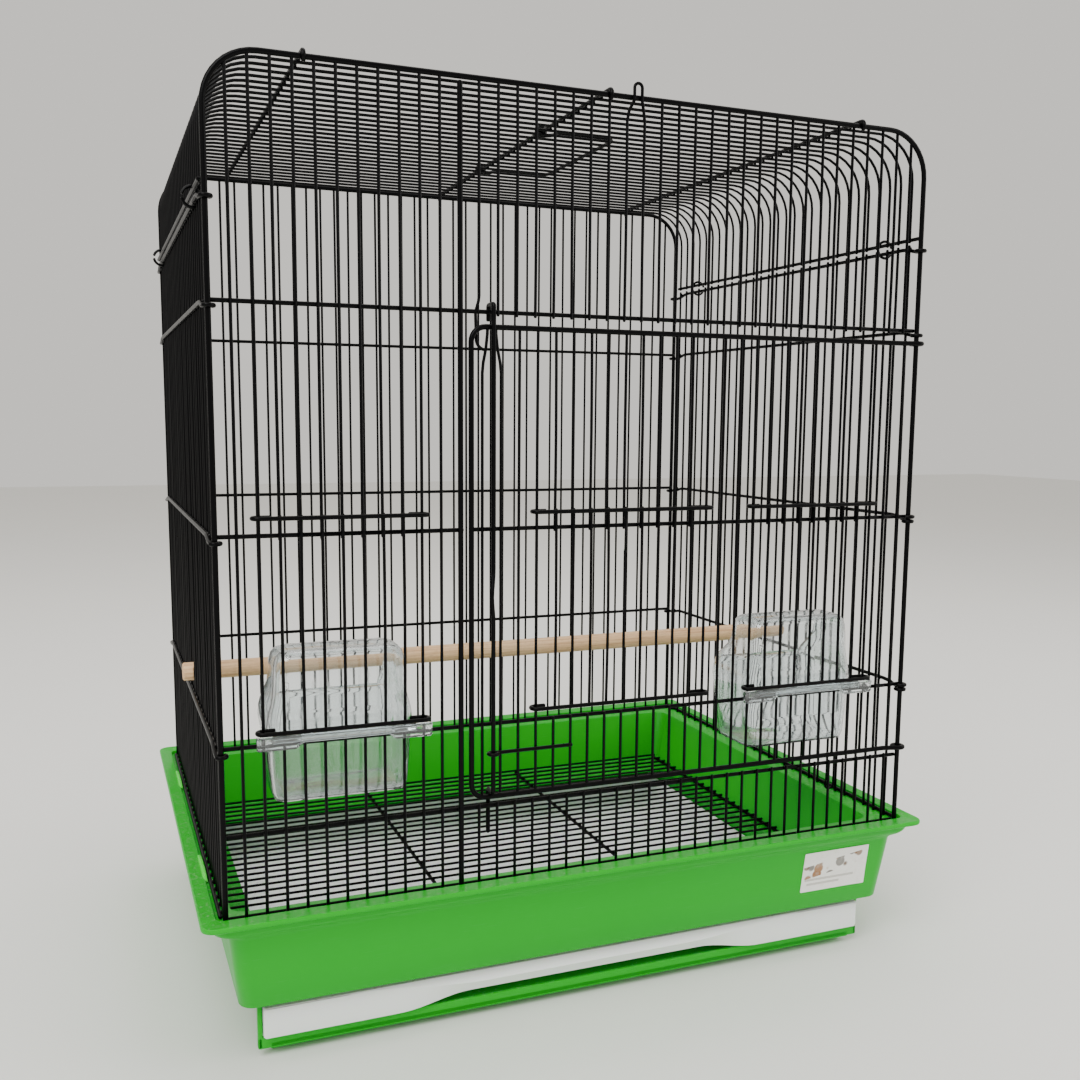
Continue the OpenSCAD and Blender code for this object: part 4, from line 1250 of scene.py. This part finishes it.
class CAGE_OT_base(bpy.types.Operator):
    """The green base: tub with its rim and well, tray bay, bottom frame and lugs"""
    bl_idname = "cage.base"
    bl_label = "Base"

    def execute(self, context):
        green = green_moulding()
        ground = low("base_tub").z
        bm = bmesh.new()
        join(bm, loft([rounded_rect(*level) for level in tub_profile()], closed=True))
        plate_lo, plate_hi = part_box("base_plate")
        bay, wall = 211.6 * MM, 2.4 * MM
        front, back = plate_lo.y, plate_hi.y + 0.3 * MM
        under = 50.4 * MM
        for side in (-1, 1):
            xs = sorted((side * bay, side * (bay + wall)))
            slab(bm, (xs[0], front + 18 * MM, ground), (xs[1], back + wall, under), 0.8 * MM)
        # roof of the bay beside the tray, under the shelf's left edge
        slab(bm, (-bay - 16 * MM, -148 * MM, 47 * MM), (-bay - 1.4 * MM, 122 * MM, under), 0.6 * MM)
        slab(bm, (-bay + 0.2 * MM, back, ground), (bay - 0.2 * MM, back + wall, under), 0.6 * MM)
        slab(bm, (-bay + 0.2 * MM, front, 37 * MM), (bay - 0.2 * MM, front + wall, under), 0.6 * MM)
        finish_piece("tub", bm, green, "base", ["base_tub"], 34)

        bm = bmesh.new()
        foot = 6 * MM
        deck_low, deck_high = foot - 0.5 * MM, foot + 4 * MM
        half, lip_half = 214 * MM, 221.4 * MM
        runner_x, foot_near_x, foot_far_x, foot_deep = 200 * MM, 144 * MM, 213 * MM, 40 * MM
        border, depth_front, depth_back = 26 * MM, 45 * MM, 42 * MM
        slab(bm, (-half, plate_lo.y, deck_low), (half, plate_lo.y + depth_front, deck_high), 0.8 * MM)
        slab(bm, (-half, plate_hi.y - depth_back, deck_low), (half, plate_hi.y, deck_high), 0.8 * MM)
        for x in (-half, -20 * MM, half - border):
            width = 40 * MM if x == -20 * MM else border
            slab(bm, (x, plate_lo.y + depth_front - 1 * MM, deck_low),
                (x + width, plate_hi.y - depth_back + 1 * MM, deck_high), 0.8 * MM)
        slab(bm, (-lip_half, plate_lo.y, foot), (lip_half, plate_lo.y + 3 * MM, plate_hi.z - 0.5 * MM),
            0.9 * MM, 3)
        for side in (-1, 1):
            xs = sorted((side * 218.5 * MM, side * lip_half))
            slab(bm, (xs[0], plate_lo.y, foot + 0.2 * MM),
                (xs[1], plate_lo.y + 5 * MM, (SKIRT_LOW[2] + 0.6) * MM), 0.9 * MM, 3)
        for side in (-1, 1):
            slab(bm, (side * runner_x - 4 * MM, plate_lo.y + 12 * MM, foot),
                (side * runner_x + 4 * MM, plate_hi.y - 8 * MM, plate_hi.z), 0.8 * MM)
            for y in (plate_lo.y + 9 * MM, plate_hi.y - 48.7 * MM):
                xs = sorted((side * foot_near_x, side * foot_far_x))
                slab(bm, (xs[0], y, 0), (xs[1], y + foot_deep, foot), 1.4 * MM, 3)
        finish_piece("bottom_frame", bm, green, "base", ["base_plate"], 34)

        bm = bmesh.new()
        lug_lo, lug_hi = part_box("snap_lugs")
        lug_long = 46 * MM
        for near in (lug_lo.y, lug_hi.y - lug_long):
            # each lug is a tongue that swells in the middle and leans over the cage's foot
            rings = []
            for share, rise in ((0.0, 0.35), (0.03, 0.62), (0.1, 0.8), (0.3, 0.97), (0.55, 1.0),
                    (0.8, 0.86), (0.93, 0.66), (0.985, 0.42), (1.0, 0.3)):
                y = near + lug_long * share
                top = lug_lo.z + (lug_hi.z - lug_lo.z) * rise
                out, thick = lug_lo.x, lug_hi.x - lug_lo.x
                rings.append([(out, y, lug_lo.z), (out, y, top - 1.2 * MM),
                    (out + 0.4 * MM, y, top - 0.3 * MM), (out + 1.1 * MM, y, top),
                    (out + thick * 0.75, y, top - 0.2 * MM), (out + thick, y, top - 1.0 * MM),
                    (out + thick * 0.8, y, lug_lo.z + 1.6 * MM), (out + thick * 0.8, y, lug_lo.z)])
            join(bm, loft(rings))
        light = moulded_polypropylene("light_green_polypropylene", context.scene.cage_mouldings.lug,
            hex_linear("#a9c59a"))
        finish_piece("ledge_lugs", bm, light, "base", ["snap_lugs"])
        return {"FINISHED"}


class CAGE_OT_floor_grille(bpy.types.Operator):
    """The loose wire grille that lies in the base over the tray"""
    bl_idname = "cage.floor_grille"
    bl_label = "Floor grille"

    def execute(self, context):
        wires = context.scene.cage_wires
        rng = random.Random(61)
        lo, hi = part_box("floor_grille")
        bar_z, thin_z = lo.z + wires.bar / 2, hi.z - wires.thin / 2
        pitch = 11 * MM
        rows = int(math.floor((hi.y - wires.thin / 2) / pitch + 1e-6))
        left, right = -229.4 * MM, 214 * MM
        bars = [left + 1 * MM, -81 * MM, 65 * MM, right - 1 * MM]
        bm = bmesh.new()
        for x in bars:
            wire(bm, [(x, lo.y + 0.5 * MM, bar_z), (x, 0, bar_z), (x, hi.y - 0.5 * MM, bar_z)],
                wires.bar, sides=12)
        for i in range(-rows, rows + 1):
            y = i * pitch
            stray = rng.uniform(-0.4, 0.4) * MM
            wire(bm, [(left, y, thin_z), (-100 * MM, y + stray, thin_z), (90 * MM, y - stray, thin_z),
                (right, y, thin_z)], wires.thin, sides=8)
            for x in bars:
                weld(bm, (x, y, bar_z + wires.bar / 2), 1.2 * MM)
        finish_wires("grille", bm, "base", "floor_grille")
        return {"FINISHED"}


TRAY_END = 218.2 * MM


def tray_stations():
    """Places across the tray's front where its section is drawn."""
    half = [TRAY_END, TRAY_END - 0.3 * MM, TRAY_END - 1.2 * MM]
    half += [165 * MM - i * 5 * MM for i in range(20)] + [60 * MM, 30 * MM]
    return [-x for x in half] + [0.0] + half[::-1]


def tray_front_section(x, lo, hi):
    """The front's section: flat at the sides, a bright upper band over a finger grip between."""
    end = max(0.0, (abs(x) - TRAY_END + 1.2 * MM))
    ridge = smooth_step(abs(x), 162 * MM, 74 * MM)
    lift = smooth_step(abs(x), 132 * MM, 86 * MM)
    face = lo.y + end * 0.8
    back = lo.y + 15.6 * MM
    top, bottom = hi.z - end * 0.5, lo.z + end * 0.5
    ridge_z = top - 1.6 * MM - ridge * 4.8 * MM
    foot_z = bottom + lift * 5.0 * MM
    foot_y = face + ridge * 1.0 * MM + lift * 2.5 * MM
    bulge = ridge * 2.8 * MM
    return [(x, back, top), (x, face + 1.0 * MM, top), (x, face + 0.3 * MM, top - 0.3 * MM),
        (x, face, top - 1.0 * MM), (x, face - bulge * 0.85, ridge_z + 0.9 * MM),
        (x, face - bulge, ridge_z), (x, face - bulge * 0.85 + lift * 0.3 * MM, ridge_z - 0.9 * MM),
        (x, foot_y, foot_z + 1.0 * MM), (x, foot_y + 0.3 * MM, foot_z + 0.3 * MM),
        (x, foot_y + 1.0 * MM, foot_z), (x, back, foot_z)]


class CAGE_OT_tray(bpy.types.Operator):
    """The white pull-out tray, with the finger grip swept out of its front's lower edge"""
    bl_idname = "cage.tray"
    bl_label = "Tray"

    def execute(self, context):
        lo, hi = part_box("slide_tray")
        bm = bmesh.new()
        join(bm, loft([tray_front_section(x, lo, hi) for x in tray_stations()]))
        # open tray behind it: one section swept round a rounded rectangle
        near, far = lo.y + 16 * MM, hi.y
        half_w, half_d = 210.6 * MM, (far - near) / 2
        wall = 2 * MM
        levels = [(half_w - 3 * MM, half_d - 3 * MM, 3 * MM, lo.z),
            (half_w, half_d, 5 * MM, lo.z + 2.5 * MM), (half_w, half_d, 5 * MM, hi.z - 0.6 * MM),
            (half_w - 0.6 * MM, half_d - 0.6 * MM, 4.6 * MM, hi.z),
            (half_w - wall + 0.4 * MM, half_d - wall + 0.4 * MM, 3.6 * MM, hi.z),
            (half_w - wall, half_d - wall, 3.2 * MM, hi.z - 0.6 * MM),
            (half_w - wall, half_d - wall, 3.2 * MM, lo.z + 4 * MM),
            (half_w - wall - 3 * MM, half_d - wall - 3 * MM, 3 * MM, lo.z + wall)]
        middle = (0.0, (near + far) / 2)
        shell = loft([rounded_rect(*level, middle) for level in levels])
        for vert in shell.verts:
            # the back wall stands a little higher than the front
            if vert.co.y > middle[1] and vert.co.z > hi.z - 1 * MM:
                vert.co.z += 2.2 * MM
        join(bm, shell)
        finish_piece("pull_tray", bm, white_moulding(), "tray", ["slide_tray"], 34)
        return {"FINISHED"}


class CAGE_OT_label(bpy.types.Operator):
    """The paper label on the front of the base, with one corner lifting"""
    bl_idname = "cage.label"
    bl_label = "Label"

    def execute(self, context):
        lo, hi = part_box("blank_label")
        lean = math.atan(SKIRT_DRAFT[1])
        width, height = hi.x - lo.x, (hi.z - lo.z)
        middle = (lo + hi) / 2
        piece = bmesh.new()
        bmesh.ops.create_grid(piece, x_segments=22, y_segments=14, size=0.5,
            matrix=Matrix.Diagonal((width, height, 1, 1)))
        for vert in piece.verts:
            # the lower right corner and the top edge lift a little
            u, v = vert.co.x / width + 0.5, vert.co.y / height + 0.5
            lift = max(0.0, (u - v * 0.6) - 0.75) ** 2 * 14 * MM + max(0.0, v - 0.93) * 2 * MM
            vert.co.z = min(lift, 0.35 * MM)
        corners = [v for v in piece.verts if len(v.link_edges) == 2]
        bmesh.ops.bevel(piece, geom=corners, offset=0.8 * MM, offset_type="OFFSET", affect="VERTICES",
            segments=3, profile=0.5, material=-1)
        face_y = -skirt_at(middle.z / MM)[1] * MM - 0.35 * MM
        place = Matrix.Translation((middle.x, face_y,
            middle.z)) @ Matrix.Rotation(math.radians(90) + lean, 4, "X")
        bmesh.ops.transform(piece, matrix=place, verts=piece.verts)
        bmesh.ops.recalc_face_normals(piece, faces=piece.faces)
        bmesh.ops.solidify(piece, geom=list(piece.faces), thickness=0.25 * MM)
        bm = bmesh.new()
        join(bm, piece)
        finish_piece("paper_label", bm, printed_paper(), "base", ["blank_label"])
        return {"FINISHED"}


# ---- stage ------------------------------------------------------------------------

SENSOR = 36.0                        # mm
LENS_SHIFT = (-0.0112, 0.0216)
FLOOR_HALF = 6.0                     # m
LIT_POINT = (0, 0, 0.28)
# name, place, side of its square in metres, power in watts
LIGHTS = (("key", (-1.3, -1.5, 2.2), 1.6, 62), ("top", (0.3, 0.4, 2.4), 2.2, 26),
    ("fill", (1.8, -1.0, 1.2), 1.5, 16))


class CAGE_OT_stage(bpy.types.Operator):
    """Camera, pale floor under a plain sky, and soft light"""
    bl_idname = "cage.stage"
    bl_label = "Stage"

    def execute(self, context):
        settings = context.scene.cage_stage
        pitch, roll, heading = settings.turn
        data = bpy.data.cameras.new("camera")
        data.lens = settings.lens
        data.sensor_width = SENSOR
        data.shift_x, data.shift_y = LENS_SHIFT
        data.clip_start, data.clip_end = 0.05, 50.0
        camera = bpy.data.objects.new("camera", data)
        context.scene.collection.objects.link(camera)
        camera.matrix_world = Matrix.Translation(settings.eye) @ Matrix.Rotation(heading, 4,
            "Z") @ Matrix.Rotation(math.radians(90) + pitch, 4, "X") @ Matrix.Rotation(roll, 4, "Z")
        context.scene.camera = camera

        material, tree, output = new_material("pale_floor")
        if tree is not None:
            place = add_node(tree, "TexCoord")
            cloud = add_node(tree, "TexNoise", {"Vector": place.outputs["Object"], "Scale": 2.5,
                "Detail": 6.0})
            shade = add_node(tree, "MapRange", {"Value": cloud.outputs["Fac"], "To Min": 0.0,
                "To Max": 0.12})
            dark = tuple(c * 0.8 for c in settings.floor)
            colour = add_node(tree, "Mix", {"Factor": shade.outputs[0], MIX_A: (*settings.floor, 1),
                MIX_B: (*dark, 1)}, data_type="RGBA")
            shader = add_node(tree, "BsdfPrincipled",
                {"Base Color": colour.outputs[2], "Roughness": 0.75})
            tree.links.new(shader.outputs[0], output.inputs["Surface"])
        bm = bmesh.new()
        bmesh.ops.create_grid(bm, x_segments=1, y_segments=1, size=FLOOR_HALF)
        mesh = bpy.data.meshes.new("floor")
        bm.to_mesh(mesh)
        bm.free()
        mesh.materials.append(material)
        floor = bpy.data.objects.new("floor", mesh)
        context.scene.collection.objects.link(floor)

        world = bpy.data.worlds.new("studio")
        world.use_nodes = True
        background = world.node_tree.nodes["Background"]
        background.inputs["Color"].default_value = (*hex_linear("#e9e6e0"), 1)
        background.inputs["Strength"].default_value = 1.0
        context.scene.world = world
        for name, spot, size, power in LIGHTS:
            light = bpy.data.lights.new(name, "AREA")
            light.shape = "SQUARE"
            light.size = size
            light.energy = power
            lamp = bpy.data.objects.new(name, light)
            context.scene.collection.objects.link(lamp)
            lamp.location = spot
            aim = Vector(LIT_POINT) - Vector(spot)
            lamp.rotation_euler = aim.to_track_quat("-Z", "Y").to_euler()
        return {"FINISHED"}


# ---- sidebar and registration --------------------------------------------------------

OPERATORS = (CAGE_OT_stage, CAGE_OT_base, CAGE_OT_floor_grille, CAGE_OT_tray, CAGE_OT_label,
    CAGE_OT_front_panel, CAGE_OT_back_panel, CAGE_OT_side_panels, CAGE_OT_roof, CAGE_OT_small_wires,
    CAGE_OT_main_door, CAGE_OT_lifting_doors, CAGE_OT_latch, CAGE_OT_carry_handle, CAGE_OT_perch,
    CAGE_OT_feeders)
SETTINGS = (("cage_wires", WireSettings), ("cage_mouldings", MouldingSettings),
    ("cage_perch", PerchSettings), ("cage_stage", StageSettings))


class CAGE_PT_sidebar(bpy.types.Panel):
    """Lists the cage's settings and the operators that build its pieces"""
    bl_idname = "CAGE_PT_sidebar"
    bl_label = "Bird Cage"
    bl_space_type = "VIEW_3D"
    bl_region_type = "UI"
    bl_category = "Bird Cage"

    def draw(self, context):
        for name, group in SETTINGS:
            box = self.layout.box()
            box.label(text=group.__doc__)
            for prop in group.__annotations__:
                box.prop(getattr(context.scene, name), prop)
        for operator in OPERATORS:
            self.layout.operator(operator.bl_idname)


def register():
    """Registers the settings, the operators and the panel."""
    for name, group in SETTINGS:
        bpy.utils.register_class(group)
        setattr(bpy.types.Scene, name, PointerProperty(type=group))
    for operator in OPERATORS:
        bpy.utils.register_class(operator)
    bpy.utils.register_class(CAGE_PT_sidebar)


def unregister():
    """Takes everything out again, in the reverse order."""
    bpy.utils.unregister_class(CAGE_PT_sidebar)
    for operator in reversed(OPERATORS):
        bpy.utils.unregister_class(operator)
    for name, group in reversed(SETTINGS):
        delattr(bpy.types.Scene, name)
        bpy.utils.unregister_class(group)


def main():
    """Builds the whole cage."""
    register()
    for operator in OPERATORS:
        family, call = operator.bl_idname.split(".")
        getattr(getattr(bpy.ops, family), call)()


if __name__ == "__main__":
    main()
